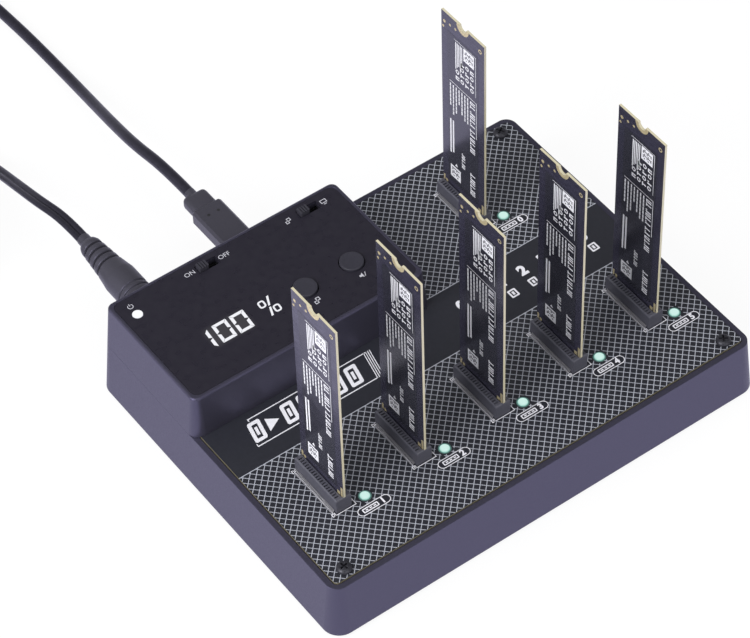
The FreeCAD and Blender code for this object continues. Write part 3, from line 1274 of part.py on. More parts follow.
def host_plug(entry):
    """The plug for the computer: moulded body lying flat, relief and metal shell."""
    body = new_body("host_plug_moulding", entry.x, entry.y, entry.z)
    thick = "Sizes.host_body_thickness"
    relief = "(2 * Sizes.cable_diameter)"
    tip = new_sketch(body, "relief_tip", "YZ_Plane")
    draw_circle(tip, "0", "0", "(Sizes.cable_diameter / 2 + Sizes.seat_clearance)")
    root = new_sketch(body, "relief_root", "YZ_Plane", f"0 - {relief}")
    draw_circle(root, "0", "0", f"({thick} * 0.42)")
    loft(body, tip, root)
    outline = new_sketch(body, "outline", "YZ_Plane", f"0 - {relief}")
    draw_rounded(outline, "0", "0", "Sizes.host_body_width", thick, f"{thick} * 0.25")
    pad(body, outline, "Sizes.host_body_length", down=True)
    shell = new_body("host_plug_shell", entry.x, entry.y, entry.z)
    outside = new_sketch(shell, "outside", "YZ_Plane", f"0 - {relief} - Sizes.host_body_length")
    draw_rectangle(outside, "0", "0", "Sizes.host_shell_width", "Sizes.host_shell_thickness")
    pad(shell, outside, "Sizes.host_shell_length", down=True)
    mouth = new_sketch(shell, "mouth", "YZ_Plane",
                       f"0 - {relief} - Sizes.host_body_length - Sizes.host_shell_length")
    wall = "Sizes.port_wall * 2"
    draw_rectangle(mouth, "0", f"(Sizes.host_shell_thickness / 4 - {wall} / 2)",
                   f"(Sizes.host_shell_width - 2 * {wall})",
                   f"(Sizes.host_shell_thickness / 2 - {wall})")
    pocket(shell, mouth, "Sizes.host_shell_length - 2 * Sizes.blade_thickness", up=True)
    keep("host_plug", group("host_plug", [body, shell]))


POWER_PLUG_LENGTH = "(Sizes.power_plug_straight + Sizes.power_plug_cone + Sizes.power_plug_relief)"
DATA_PLUG_LENGTH = "(Sizes.data_body_length + Sizes.data_collar_length)"


def build():
    """Every sub-part, from the base up and then out along the leads."""
    base_tray()
    rubber_feet()
    main_board()
    board_screws()
    case_screws()
    for name, x, y in CARDS:
        socket(f"{name}_socket", x, y)
    socket_contacts()
    status_lights()
    for name, x, y in CARDS:
        drive_card(name, x, y)
        drive_chips(name, x, y)
    head_shell()
    top_overlay()
    control_board()
    control_board_screws()
    display_module()
    power_light()
    for name, x in SWITCHES.items():
        switch_case(name, x)
        switch_knob(name, x)
    for name, x in BUTTONS.items():
        push_button(name, x)
    push_switches()
    power_jack()
    data_port()
    inner_parts()
    power_plug()
    data_plug()
    power_lead()
    data_cable()
    doc.recompute()


def check_and_write():
    """See that nothing failed, then write one file for each sub-part."""
    failed = [item.Name for item in doc.Objects if {"Invalid", "Error"} & set(item.State)]
    if failed:
        raise RuntimeError(f"failed objects: {failed}")
    for piece in NODES:
        if piece.Shape.isNull() or not piece.Shape.isValid():
            raise RuntimeError(f"{piece.Label} has no valid shape")
    os.makedirs("parts", exist_ok=True)
    for piece in NODES:
        piece.Shape.exportStep(f"parts/{piece.Label}.step")
    print(len(NODES), "sub-parts written")


build()
check_and_write()
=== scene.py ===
import math

import bmesh
import bpy
from mathutils import Matrix, Vector


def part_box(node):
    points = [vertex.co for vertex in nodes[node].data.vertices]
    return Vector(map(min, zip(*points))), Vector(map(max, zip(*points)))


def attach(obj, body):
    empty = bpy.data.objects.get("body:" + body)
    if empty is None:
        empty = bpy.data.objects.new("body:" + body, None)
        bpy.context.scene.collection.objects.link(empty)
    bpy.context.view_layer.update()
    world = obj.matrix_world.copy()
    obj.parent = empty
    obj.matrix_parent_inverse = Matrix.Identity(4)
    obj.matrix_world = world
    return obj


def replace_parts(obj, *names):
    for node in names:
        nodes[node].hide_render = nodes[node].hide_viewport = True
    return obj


# Drive duplicator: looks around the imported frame. Sizes are written in millimetres and
# turned to metres where a mesh or a texture is made.

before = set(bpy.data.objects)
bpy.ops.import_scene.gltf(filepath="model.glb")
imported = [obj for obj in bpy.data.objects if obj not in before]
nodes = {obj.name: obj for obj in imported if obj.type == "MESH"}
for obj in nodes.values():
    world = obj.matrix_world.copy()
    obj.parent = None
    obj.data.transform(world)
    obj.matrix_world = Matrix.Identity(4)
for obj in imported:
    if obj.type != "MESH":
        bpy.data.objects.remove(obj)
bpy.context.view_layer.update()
MM = 0.001
DRIVES = ["source"] + [f"target_{number}" for number in range(1, 6)]
NUMBERS = {"source": "0"} | {f"target_{number}": str(number) for number in range(1, 6)}


def corners(node):
    """Lowest and highest corner of a CAD node, in millimetres."""
    low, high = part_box(node)
    return low / MM, high / MM


def at(x, y, z):
    """A place in millimetres."""
    return Matrix.Translation(Vector((x, y, z)) * MM)


def about(axis, degrees):
    """A turn about an axis."""
    return Matrix.Rotation(math.radians(degrees), 4, axis)


# Camera: where the photograph was taken from

CAMERA_PLACE = (-416.5, -574.7, 846.3)
CAMERA_RIGHT_OF_BACK = 34.636
CAMERA_UP_FROM_DOWN = 41.105
CAMERA_ROLL = -2.1445
CAMERA_LENS = 164.8
SENSOR_WIDTH = 36.0


def make_camera():
    """A long lens looking down over the front left corner."""
    data = bpy.data.cameras.new("camera")
    data.lens = CAMERA_LENS
    data.sensor_width = SENSOR_WIDTH
    data.clip_start = 0.05
    data.clip_end = 20.0
    camera = bpy.data.objects.new("camera", data)
    aim = about("Z", -CAMERA_RIGHT_OF_BACK) @ about("X", CAMERA_UP_FROM_DOWN) @ about("Z", CAMERA_ROLL)
    camera.matrix_world = at(*CAMERA_PLACE) @ aim
    bpy.context.scene.collection.objects.link(camera)
    bpy.context.scene.camera = camera


make_camera()


# Materials: helpers

def linear(colour):
    """Linear RGBA of an sRGB hex colour."""
    parts = [int(colour[i:i + 2], 16) / 255 for i in (1, 3, 5)]
    return [p / 12.92 if p <= 0.04045 else ((p + 0.055) / 1.055) ** 2.4 for p in parts] + [1.0]


def feed(tree, socket, source):
    """Set a socket to a number or a hex colour, or link it to an output or a node's first output."""
    if isinstance(source, bpy.types.Node):
        source = next(output for output in source.outputs if output.enabled)
    if isinstance(source, bpy.types.NodeSocket):
        tree.links.new(source, socket)
    else:
        socket.default_value = linear(source) if isinstance(source, str) else source


def add(tree, kind, inputs=None, **settings):
    """Add a node of a kind with its settings and inputs."""
    node = tree.nodes.new("ShaderNode" + kind)
    for key, setting in settings.items():
        setattr(node, key, setting)
    for key, source in (inputs or {}).items():
        feed(tree, node.inputs[key], source)
    return node


def start(name, colour, roughness, extra=None):
    """A Principled material whose plain numbers sit on the shader's own sockets."""
    made = bpy.data.materials.new(name)
    made.use_nodes = True
    tree = made.node_tree
    shader = tree.nodes["Principled BSDF"]
    for key, source in {"Base Color": colour, "Roughness": roughness, **(extra or {})}.items():
        feed(tree, shader.inputs[key], source)
    return made, tree, shader


def grained(tree, shader, size, depth, tint=None, gloss=None, edge=0.0, detail=2.0):
    """Grain of a size and a depth in millimetres: it bumps the surface, and shifts its colour between
    two tints and its roughness between two values; an edge in millimetres softens the corners."""
    place = add(tree, "TexCoord").outputs["Object"]
    noise = add(tree, "TexNoise", {"Vector": place, "Scale": 1 / (size * MM), "Detail": detail})
    normal = add(tree, "Bump", {"Height": noise, "Distance": depth * MM, "Strength": 1.0})
    if edge:
        normal = add(tree, "Bevel", {"Radius": edge * MM, "Normal": normal}, samples=4)
    feed(tree, shader.inputs["Normal"], normal)
    varied(tree, shader, noise, tint, gloss)
    return noise


def varied(tree, shader, noise, tint, gloss):
    """Let noise shift a shader's colour and roughness."""
    if tint:
        mixed = add(tree, "Mix", {"Factor": noise, "A": tint[0], "B": tint[1]}, data_type="RGBA")
        feed(tree, shader.inputs["Base Color"], mixed)
    if gloss:
        feed(tree, shader.inputs["Roughness"], add(tree, "MapRange", {
            "Value": noise, "From Min": 0.3, "From Max": 0.7, "To Min": gloss[0], "To Max": gloss[1]}))


def finish(name, colour, roughness, size, depth, extra=None, **variation):
    """A finish whose only pattern is its grain."""
    made, tree, shader = start(name, colour, roughness, extra)
    grained(tree, shader, size, depth, **variation)
    return made


# Materials: finishes with plain grain

# Moulded ABS from a spark-eroded mould: near-black violet grey, satin, softly edged.
# The real grain is about 0.05 mm, too fine to show, so it is drawn 0.5 mm wide.
ABS = finish("spark_eroded_abs", "#2f2e37", 0.42, 0.5, 0.006, {
    "IOR": 1.54, "Specular IOR Level": 1.0, "Specular Tint": "#cdc7ff"},
    tint=("#2d2c34", "#32313a"), gloss=(0.36, 0.48), edge=0.45)

# Black silicone feet: matte with a dusty grain
SILICONE = finish("moulded_silicone", "#1b1b1d", 0.75, 0.7, 0.03, tint=("#161618", "#232326"))

# Hidden control board: black solder mask, slightly wavy over its tracks
PLAIN_BOARD = finish("plain_board", "#202127", 0.4, 2.0, 0.02, tint=("#1b1c22", "#272830"))

# Bare patches of solder mask left inside the lattice
MASK = finish("dark_mask", "#24252c", 0.36, 1.4, 0.01, tint=("#22232a", "#272830"))

# Black zinc-plated screws: dark metal with worn brighter grain
ZINC = finish("black_zinc", "#36363d", 0.42, 0.35, 0.01, {"Metallic": 0.5},
              tint=("#303037", "#404047"), gloss=(0.34, 0.5))

# Solder legs, tin over brass: soft bright metal
TIN = finish("tinned_brass", "#a4a3aa", 0.4, 0.4, 0.01, {"Metallic": 0.6}, gloss=(0.26, 0.45))

# Gold flash over copper: warm, smooth metal
GOLD = finish("gold_pads", "#cbbd96", 0.4, 0.6, 0.006, {"Metallic": 0.5}, tint=("#c1b187", "#d5c9a6"))

# Back-printed polyester film: near-black, smooth, with a fine matte tooth
FILM_TINT = ("#211f29", "#25232d")
FILM = finish("polyester_overlay", "#23212b", 0.3, 2.2, 0.004, tint=FILM_TINT,
              gloss=(0.27, 0.34), detail=0.0)

# Switch knobs in black acetal: a little lighter where thumbs rub
POM = finish("rubbed_pom", "#302f38", 0.5, 0.8, 0.01, tint=("#2c2b34", "#383741"))

# Push buttons in fine-matte ABS: a shade lighter than the film round them
KEYS = finish("matte_key_abs", "#2b2a35", 0.55, 0.6, 0.008, tint=("#292833", "#2f2e39"))

# Glass-filled nylon sockets: dark grey with a faint fibre mottle
NYLON = finish("socket_nylon", "#4a4a54", 0.45, 0.5, 0.012, tint=("#41414b", "#54545f"),
               edge=0.15, detail=4.0)

# Moulded epoxy chips: matte charcoal with sand-blast grain
EPOXY = finish("chip_epoxy", "#1d1d20", 0.62, 0.4, 0.01, tint=("#19191c", "#26262a"), detail=4.0)

# Small ceramic capacitors: brown-grey bodies, matte
CERAMIC = finish("ceramic_chips", "#8b7a66", 0.55, 0.3, 0.01, tint=("#7d6d5a", "#988773"))

# Moulded PVC plugs: soft satin black with a fine textured skin
PLUG = finish("plug_pvc", "#3b3a41", 0.38, 0.5, 0.01, {"Specular Tint": "#dad6ff"},
              tint=("#37363d", "#3f3e45"), edge=0.3)

# Extruded PVC jacket: satin with faint long waves from its wires
LEAD = finish("lead_pvc", "#232229", 0.36, 3.5, 0.05, {"Specular Tint": "#dcd9fb"},
              tint=("#201f26", "#28272f"), gloss=(0.3, 0.42))

# Black polyester label on a drive card: duller and more neutral than the mask
GLOSSY_CARD = {"Specular IOR Level": 0.7, "Specular Tint": "#dad6ff"}
LABEL = finish("label_film", "#2b2b33", 0.28, 3.0, 0.006, GLOSSY_CARD,
               tint=("#292931", "#2e2e36"), gloss=(0.18, 0.23), detail=0.0)

# White screen-printing ink: flat, slightly uneven in cover; the finest lines print thinner
INK = finish("screen_ink", "#e6e6ec", 0.5, 0.5, 0.005, tint=("#d4d4dc", "#e6e6ec"))
FINE_INK = finish("fine_screen_ink", "#bcbcc4", 0.5, 0.5, 0.005, tint=("#a9a9b1", "#bcbcc4"))


# Materials: finishes with a pattern of their own

LATTICE_PERIOD = (2.742, 2.80)
LATTICE_LINE = 0.24
LATTICE_PHASE = (0.033, 0.287)
LATTICE_FRONT_EDGE = -10.1
LATTICE_BACK_EDGE = 13.5
LATTICE_BORDER = 0.3


def printed_board():
    """Main board: satin black solder mask with a tinned lattice of crossing lines; the cut edge of
    the board shows its pale glass laminate."""
    made, tree, shader = start("printed_board", "#2c2d35", 0.36)
    noise = grained(tree, shader, 1.4, 0.01)
    sides = add(tree, "TexCoord")
    place = add(tree, "SeparateXYZ", {0: sides.outputs["Object"]})
    x, y = place.outputs["X"], place.outputs["Y"]
    along, across = [add(tree, "Math", {0: way, 1: 1 / (period * MM), 2: phase}, operation="MULTIPLY_ADD")
                     for way, period, phase in zip((x, y), LATTICE_PERIOD, LATTICE_PHASE)]
    half_line = LATTICE_LINE / 2 * math.hypot(*(1 / period for period in LATTICE_PERIOD))
    lines = 0.0
    for operation in ("ADD", "SUBTRACT"):
        slanted = add(tree, "Math", {0: along, 1: across}, operation=operation)
        nearest = add(tree, "Math", {0: slanted, 1: 0.5}, operation="PINGPONG")
        line = add(tree, "MapRange", {"Value": nearest, "From Min": half_line * 0.8,
                                      "From Max": half_line * 1.2, "To Min": 1.0, "To Max": 0.0})
        lines = add(tree, "Math", {0: lines, 1: line}, operation="MAXIMUM")
    head_right = corners("head_shell")[1].x * MM
    beside_head = add(tree, "Math", {0: x, 1: head_right}, operation="GREATER_THAN")
    zone, borders = 0.0, 0.0
    for edge, operation, part in ((LATTICE_FRONT_EDGE, "LESS_THAN", 1.0),
                                  (LATTICE_BACK_EDGE, "GREATER_THAN", beside_head)):
        field = add(tree, "Math", {0: y, 1: edge * MM}, operation=operation)
        border = add(tree, "Math", {0: y, 1: edge * MM, 2: LATTICE_BORDER / 2 * MM}, operation="COMPARE")
        zone = add(tree, "Math", {0: field, 1: part, 2: zone}, operation="MULTIPLY_ADD")
        borders = add(tree, "Math", {0: border, 1: part, 2: borders}, operation="MULTIPLY_ADD")
    upward = add(tree, "SeparateXYZ", {0: sides.outputs["Normal"]}).outputs["Z"]
    top = add(tree, "Math", {0: upward, 1: 0.5}, operation="GREATER_THAN")
    level = add(tree, "Math", {0: upward}, operation="ABSOLUTE")
    faces = add(tree, "Math", {0: level, 1: 0.5}, operation="GREATER_THAN")
    for operation, other in (("MULTIPLY", zone), ("MAXIMUM", borders), ("MULTIPLY", top)):
        lines = add(tree, "Math", {0: lines, 1: other}, operation=operation)
    colour = "#24252c"
    for factor, second in ((noise, "#2b2c34"), (zone, "#24252c"), (lines, "#a4a7b1")):
        colour = add(tree, "Mix", {"Factor": factor, "A": colour, "B": second}, data_type="RGBA")
    colour = add(tree, "Mix", {"Factor": faces, "A": "#6f6957", "B": colour}, data_type="RGBA")
    feed(tree, shader.inputs["Base Color"], colour)
    feed(tree, shader.inputs["Roughness"], add(tree, "MapRange", {
        "Value": lines, "To Min": 0.36, "To Max": 0.28}))
    return made


def drawn_steel():
    """Nickel-plated drawn steel shells and blades: bright, brushed along Y."""
    made, tree, shader = start("drawn_steel", "#a6a6ac", 0.42, {"Metallic": 1.0})
    # brush marks 0.3 mm apart and 5 mm long
    place = add(tree, "TexCoord").outputs["Object"]
    stretched = add(tree, "Mapping", {"Vector": place, "Scale": (3000, 200, 3000)})
    noise = add(tree, "TexNoise", {"Vector": stretched, "Scale": 1.0, "Detail": 3.0})
    varied(tree, shader, noise, ("#9a9aa0", "#b2b2b8"), (0.36, 0.5))
    return made


def glowing(name, colour, rim_colour, strength):
    """A lit diode's lens: clear resin whose glow is brightest where it faces up."""
    made, tree, shader = start(name, "#1c1c20", 0.25, {"Emission Strength": strength})
    grained(tree, shader, 0.8, 0.01)
    facing = add(tree, "SeparateXYZ", {0: add(tree, "TexCoord").outputs["Normal"]}).outputs["Z"]
    upward = add(tree, "MapRange", {"Value": facing, "From Min": 0.55, "From Max": 0.95})
    feed(tree, shader.inputs["Emission Color"], add(
        tree, "Mix", {"Factor": upward, "A": rim_colour, "B": colour}, data_type="RGBA"))
    return made


GLOW_MIDDLE = (-54.3, 29.9)
GLOW_HALF = (8.6, 5.2)
GLOW_FADE = 2.6


def leaked_glow():
    """The film over the figures: the same black, with light that leaks round the bars."""
    made, tree, shader = start("lit_overlay", "#23212b", 0.3, {"Emission Color": "#fffdf6"})
    grained(tree, shader, 2.2, 0.004, tint=FILM_TINT, detail=0.0)
    place = add(tree, "SeparateXYZ", {0: add(tree, "TexCoord").outputs["Object"]})
    strength = 0.03
    for axis, middle, half in zip("XY", GLOW_MIDDLE, GLOW_HALF):
        offset = add(tree, "Math", {0: place.outputs[axis], 1: middle * MM}, operation="SUBTRACT")
        away = add(tree, "Math", {0: offset}, operation="ABSOLUTE")
        fade = add(tree, "MapRange", {"Value": away, "From Min": (half - GLOW_FADE) * MM,
                                      "From Max": half * MM, "To Min": 1.0, "To Max": 0.0})
        strength = add(tree, "Math", {0: fade, 1: strength}, operation="MULTIPLY")
    feed(tree, shader.inputs["Emission Strength"], strength)
    return made


def card_laminate():
    """Drive cards: glossy blue-black solder mask, faint tracks, pale gold cut edges."""
    made, tree, shader = start("card_laminate", "#2b2a38", 0.25, GLOSSY_CARD)
    grained(tree, shader, 5.0, 0.012, gloss=(0.17, 0.25), detail=0.0)
    sides = add(tree, "TexCoord")
    across = add(tree, "SeparateXYZ", {0: sides.outputs["Normal"]}).outputs["X"]
    side = add(tree, "Math", {0: across}, operation="ABSOLUTE")
    face = add(tree, "Math", {0: side, 1: 0.5}, operation="GREATER_THAN")
    # tracks 0.15 mm wide can't show, so their bundles are drawn about 1.2 mm wide
    tracks = add(tree, "TexWave", {
        "Vector": sides.outputs["Object"], "Scale": 1 / (2 * math.pi * 1.2 * MM), "Distortion": 6.0,
        "Detail": 2.0, "Detail Scale": 1.5}, bands_direction="Z")
    mask = add(tree, "Mix", {"Factor": tracks.outputs["Fac"], "A": "#2d2c39", "B": "#353442"},
               data_type="RGBA")
    edged = add(tree, "Mix", {"Factor": face, "A": "#c2bba0", "B": mask}, data_type="RGBA")
    feed(tree, shader.inputs["Base Color"], edged)
    return made


BOARD = printed_board()
STEEL = drawn_steel()
STATUS_GLOW = glowing("status_glow", "#d4f8ef", "#8ecabd", 0.9)
HALO = glowing("status_halo", "#5f8a82", "#5f8a82", 0.6)
POWER_GLOW = glowing("power_glow", "#fbfcff", "#b9bbc4", 1.0)
SEGMENT_GLOW = glowing("segment_glow", "#f6f7fc", "#8f909a", 0.97)
LEAKED_GLOW = leaked_glow()
LAMINATE = card_laminate()


# Pieces: helpers

def mesh_from(shape):
    """The mesh of a finished shape."""
    mesh = bpy.data.meshes.new("shape")
    shape.to_mesh(mesh)
    shape.free()
    return mesh


def piece(name, parts, material, body):
    """One piece of several parts, pairs of mesh and place, with its finish and riding on a CAD body."""
    shape = bmesh.new()
    for mesh, place in parts:
        part = mesh.copy()
        part.transform(place)
        shape.from_mesh(part)
    made = bpy.data.objects.new(name, mesh_from(shape))
    made.data.materials.append(material)
    bpy.context.scene.collection.objects.link(made)
    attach(made, body)
    return made


def smooth(mesh, angle=35):
    """Smooth shading that keeps the edges sharper than an angle."""
    mesh.shade_smooth()
    mesh.set_sharp_from_angle(angle=math.radians(angle))
    return mesh


def arc(x, y, radius, first, last, steps):
    """Points along an arc, angles in degrees."""
    angles = [math.radians(first + (last - first) * i / steps) for i in range(steps + 1)]
    return [(x + radius * math.cos(a), y + radius * math.sin(a)) for a in angles]


def disc(x, y, radius, steps=32):
    """A circle's outline."""
    return arc(x, y, radius, 0, 360 * (1 - 1 / steps), steps - 1)


def box_outline(x0, y0, x1, y1, radius=0.0):
    """A rectangle's outline, with round corners if a radius is given."""
    if not radius:
        return [(x0, y0), (x1, y0), (x1, y1), (x0, y1)]
    places = ((x1 - radius, y0 + radius, -90), (x1 - radius, y1 - radius, 0),
              (x0 + radius, y1 - radius, 90), (x0 + radius, y0 + radius, 180))
    return [p for x, y, angle in places for p in arc(x, y, radius, angle, angle + 90, 6)]


def box_about(x, y, half_x, half_y, radius=0.0):
    """A rectangle's outline about its middle."""
    return box_outline(x - half_x, y - half_y, x + half_x, y + half_y, radius)


def moved(points, x, y, size=1.0):
    """An outline drawn at a size and moved to a place."""
    return [(x + u * size, y + v * size) for u, v in points]


def frame_outlines(x0, y0, x1, y1, line, radius=0.0):
    """The two outlines of a rectangular ring whose line lies inside the rectangle."""
    inner = max(radius - line, 0.0)
    return [box_outline(x0, y0, x1, y1, radius),
            box_outline(x0 + line, y0 + line, x1 - line, y1 - line, inner)]


def flat_mesh(outlines, thickness):
    """A plate filled between closed outlines in millimetres, its underside at zero."""
    curve = bpy.data.curves.new("outlines", "CURVE")
    curve.dimensions = "2D"
    curve.fill_mode = "BOTH"
    curve.extrude = thickness / 2 * MM
    for outline in outlines:
        spline = curve.splines.new("POLY")
        spline.points.add(len(outline) - 1)
        for point, (x, y) in zip(spline.points, outline):
            point.co = (x * MM, y * MM, 0.0, 1.0)
        spline.use_cyclic_u = True
    return mesh_of(curve, thickness)


def text_mesh(words, height, thickness, bold=0.0):
    """Plain numbers centred on the origin, as a thin plate."""
    curve = bpy.data.curves.new("words", "FONT")
    curve.body = words
    curve.size = height * MM * 1.4
    curve.align_x = "CENTER"
    curve.align_y = "CENTER"
    curve.extrude = thickness / 2 * MM
    curve.offset = bold * MM
    curve.resolution_u = 4
    return mesh_of(curve, thickness)


def mesh_of(curve, thickness=0.0):
    """The mesh of a curve; that of a flat one is raised so that its underside is at zero."""
    holder = bpy.data.objects.new("holder", curve)
    mesh = bpy.data.meshes.new_from_object(holder)
    bpy.data.objects.remove(holder)
    mesh.transform(at(0, 0, thickness / 2))
    return mesh


def plates(groups, thickness, level):
    """Each group of outlines as a thin plate that lies on a level."""
    return [(flat_mesh(outlines, thickness), at(0, 0, level)) for outlines in groups]


def turned(profile, steps=64):
    """A turned form about the Z axis from pairs of radius and height in millimetres."""
    shape = bmesh.new()
    rings = []
    for radius, height in profile:
        ring = disc(0, 0, radius, steps) if radius > 1e-6 else [(0, 0)]
        rings.append([shape.verts.new((x * MM, y * MM, height * MM)) for x, y in ring])
    for lower, upper in zip(rings, rings[1:]):
        for i in range(steps):
            j = (i + 1) % steps
            loop = [lower[i % len(lower)], lower[j % len(lower)],
                    upper[j % len(upper)], upper[i % len(upper)]]
            shape.faces.new(list(dict.fromkeys(loop)))
    bmesh.ops.recalc_face_normals(shape, faces=shape.faces)
    return smooth(mesh_from(shape))


def softened(points, radius, steps=4):
    """A profile whose inner corners are rounded with arcs as large as fit the radius."""
    made = [points[0]]
    for before, corner, after in zip(points, points[1:], points[2:]):
        p, c, n = Vector(before), Vector(corner), Vector(after)
        back, ahead = (p - c), (n - c)
        reach = min(radius, back.length * 0.45, ahead.length * 0.45)
        first, last = c + back.normalized() * reach, c + ahead.normalized() * reach
        for i in range(steps + 1):
            t = i / steps
            made.append(tuple(first * (1 - t) ** 2 + c * (2 * t * (1 - t)) + last * t ** 2))
    return made + [points[-1]]


def bevelled_box(length, width, height, bevel, segments):
    """A box about its middle with bevelled edges."""
    shape = bmesh.new()
    bmesh.ops.create_cube(shape, size=1.0)
    bmesh.ops.scale(shape, vec=(length * MM, width * MM, height * MM), verts=shape.verts)
    bmesh.ops.bevel(shape, geom=shape.edges[:], offset=bevel * MM, segments=segments, profile=0.5,
                    affect="EDGES")
    return smooth(mesh_from(shape))


# Cords

def route_line(points):
    """Points along the smooth line that a route's control points make, in metres."""
    curve = bpy.data.curves.new("route", "CURVE")
    curve.dimensions = "3D"
    curve.resolution_u = 6
    spline = curve.splines.new("NURBS")
    spline.points.add(len(points) - 1)
    for point, place in zip(spline.points, points):
        point.co = (*(Vector(place) * MM), 1.0)
    spline.order_u = 3
    spline.use_endpoint_u = True
    return [vertex.co.copy() for vertex in mesh_of(curve).vertices]


def swept(line, section):
    """A tube of a closed section, kept level, along a line; both ends are closed."""
    shape = bmesh.new()
    rings = []
    for i, place in enumerate(line):
        ahead = (line[min(i + 1, len(line) - 1)] - line[max(i - 1, 0)]).normalized()
        side = ahead.cross(Vector((0, 0, 1))).normalized()
        up = side.cross(ahead)
        rings.append([shape.verts.new(place + side * (u * MM) + up * (v * MM)) for u, v in section])
    count = len(section)
    for ring, following in zip(rings, rings[1:]):
        for i in range(count):
            j = (i + 1) % count
            shape.faces.new((ring[i], ring[j], following[j], following[i]))
    shape.faces.new(rings[0])
    shape.faces.new(rings[-1])
    bmesh.ops.recalc_face_normals(shape, faces=shape.faces)
    return smooth(mesh_from(shape), 60)


def coil_points(x, y, radius, slots, step, first_level, level_step, last_part, per_turn=16):
    """Turns about a middle, counter-clockwise from its east side; each slot is a row and a layer,
    and a turn passes over from the slot before in its first quarter."""
    made = []
    for turn, slot in enumerate(slots):
        count = per_turn if turn < len(slots) - 1 else round(per_turn * last_part)
        for i in range(count):
            angle = 2 * math.pi * i / per_turn
            share = min(1.0, i / (per_turn / 4))
            row, layer = [old + (new - old) * share for old, new in zip(slots[max(turn - 1, 0)], slot)]
            reach = radius - row * step
            made.append((x + reach * math.cos(angle), y + reach * math.sin(angle),
                         first_level + layer * level_step))
    return made


LEAD_WIDTH, LEAD_THICKNESS = 4.4, 2.2
CABLE_DIAMETER = 3.9
LEAD_LEVEL = LEAD_THICKNESS / 2 + 0.05
CABLE_LEVEL = CABLE_DIAMETER / 2 + 0.05


def power_lead():
    """Flat twin lead: from its plug down to the bench, then a neat coil to the adapter."""
    route = [(-65.6, 97.8, 28.6), (-65.6, 109.0, 28.6), (-67.0, 122.0, 26.2), (-66.4, 135.5, 21.2),
             (-64.9, 149.0, 14.6), (-63.4, 162.5, 7.8), (-62.2, 175.0, 2.6), (-61.6, 187.0, LEAD_LEVEL),
             (-61.6, 198.0, LEAD_LEVEL)]
    outer = 28.6
    x, y = -61.6 - outer, 215.0
    slots = [(0, 0), (1, 0), (2, 0), (2, 1), (1, 1), (0, 1), (1, 2), (2, 2), (0, 2)]
    turns = coil_points(x, y, outer, slots, LEAD_WIDTH, LEAD_LEVEL, LEAD_THICKNESS, 0.5)
    top = LEAD_LEVEL + 2 * LEAD_THICKNESS
    leaving = [(x - outer, y - back, top) for back in (0.0, 9.0, 17.5)]
    line = route_line(route + turns + leaving)
    wire = LEAD_THICKNESS / 2
    section = arc(wire, 0, wire, -155, 155, 12) + arc(-wire, 0, wire, 25, 335, 12)
    lead = piece("twin_lead", [(swept(line, section), at(0, 0, 0))], LEAD, "power_cord")
    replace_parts(lead, "power_lead", "power_lead_coil")
    return line


def data_cable():
    """Round data cable: from its plug down to the bench, then a coil to the host plug."""
    route = [(-24.6, 97.3, 23.83), (-24.6, 112.0, 23.83), (-25.4, 129.0, 21.2), (-22.9, 147.0, 15.2),
             (-19.6, 165.0, 8.2), (-17.3, 181.0, 3.4), (-16.7, 196.0, CABLE_LEVEL),
             (-16.9, 212.0, CABLE_LEVEL), (-17.6, 227.0, CABLE_LEVEL), (-18.4, 240.0, CABLE_LEVEL),
             (-18.4, 252.0, CABLE_LEVEL)]
    outer = 25.4
    x, y = -18.4 - outer, 269.0
    slots = [(0, 0), (1, 0), (2, 0), (2, 1), (1, 1), (0, 1)]
    turns = coil_points(x, y, outer, slots, CABLE_DIAMETER, CABLE_LEVEL, CABLE_DIAMETER, 0.25)
    top, plug_level = CABLE_LEVEL + CABLE_DIAMETER, 3.9
    leaving = [(x - left, y + outer, level)
               for left, level in ((0, top), (9, top), (18, plug_level), (27, plug_level))]
    line = route_line(route + turns + leaving)
    tube = swept(line, disc(0, 0, CABLE_DIAMETER / 2, 20))
    cable = piece("round_cable", [(tube, at(0, 0, 0))], LEAD, "data_cord")
    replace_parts(cable, "data_cable", "data_cable_coil")
    return line


for cord_name, cord_line in (("power lead", power_lead()), ("data cable", data_cable())):
    total = sum((b - a).length for a, b in zip(cord_line, cord_line[1:]))
    print(cord_name, "length", round(total, 3), "m")


# CAD nodes: each takes the finish of what it is

FINISHES = {}
for material, names in (
        (ABS, "base_tray head_shell"),
        (SILICONE, "rubber_feet"),
        (BOARD, "main_board"),
        (PLAIN_BOARD, "control_board"),
        (FILM, "top_overlay"),
        (ZINC, "board_screws case_screws control_board_screws"),
        (TIN, "socket_contacts power_jack_pin"),
        (STATUS_GLOW, "status_lights"),
        (POWER_GLOW, "power_light"),
        (POM, "power_switch_knob mode_switch_knob clone_plunger mute_plunger"),
        (KEYS, "clone_button mute_button"),
        (EPOXY, "display_module power_switch_case mode_switch_case push_switches "
                "controller_chips power_inductors"),
        (NYLON, "power_jack board_header buzzer"),
        (STEEL, "data_port filter_capacitors power_plug_barrel data_plug_shell adapter_blades"),
        (PLUG, "power_plug_body data_plug_body power_adapter host_plug"),
        (LEAD, "power_lead power_lead_coil data_cable data_cable_coil")):
    FINISHES |= dict.fromkeys(names.split(), material)
for drive in DRIVES:
    FINISHES[f"{drive}_socket"] = NYLON
    FINISHES[f"{drive}_drive_card"] = LAMINATE
    FINISHES[f"{drive}_drive_chips"] = EPOXY
for node_name, node in nodes.items():
    node.data.materials.clear()
    node.data.materials.append(FINISHES[node_name])


# Prints on the main board

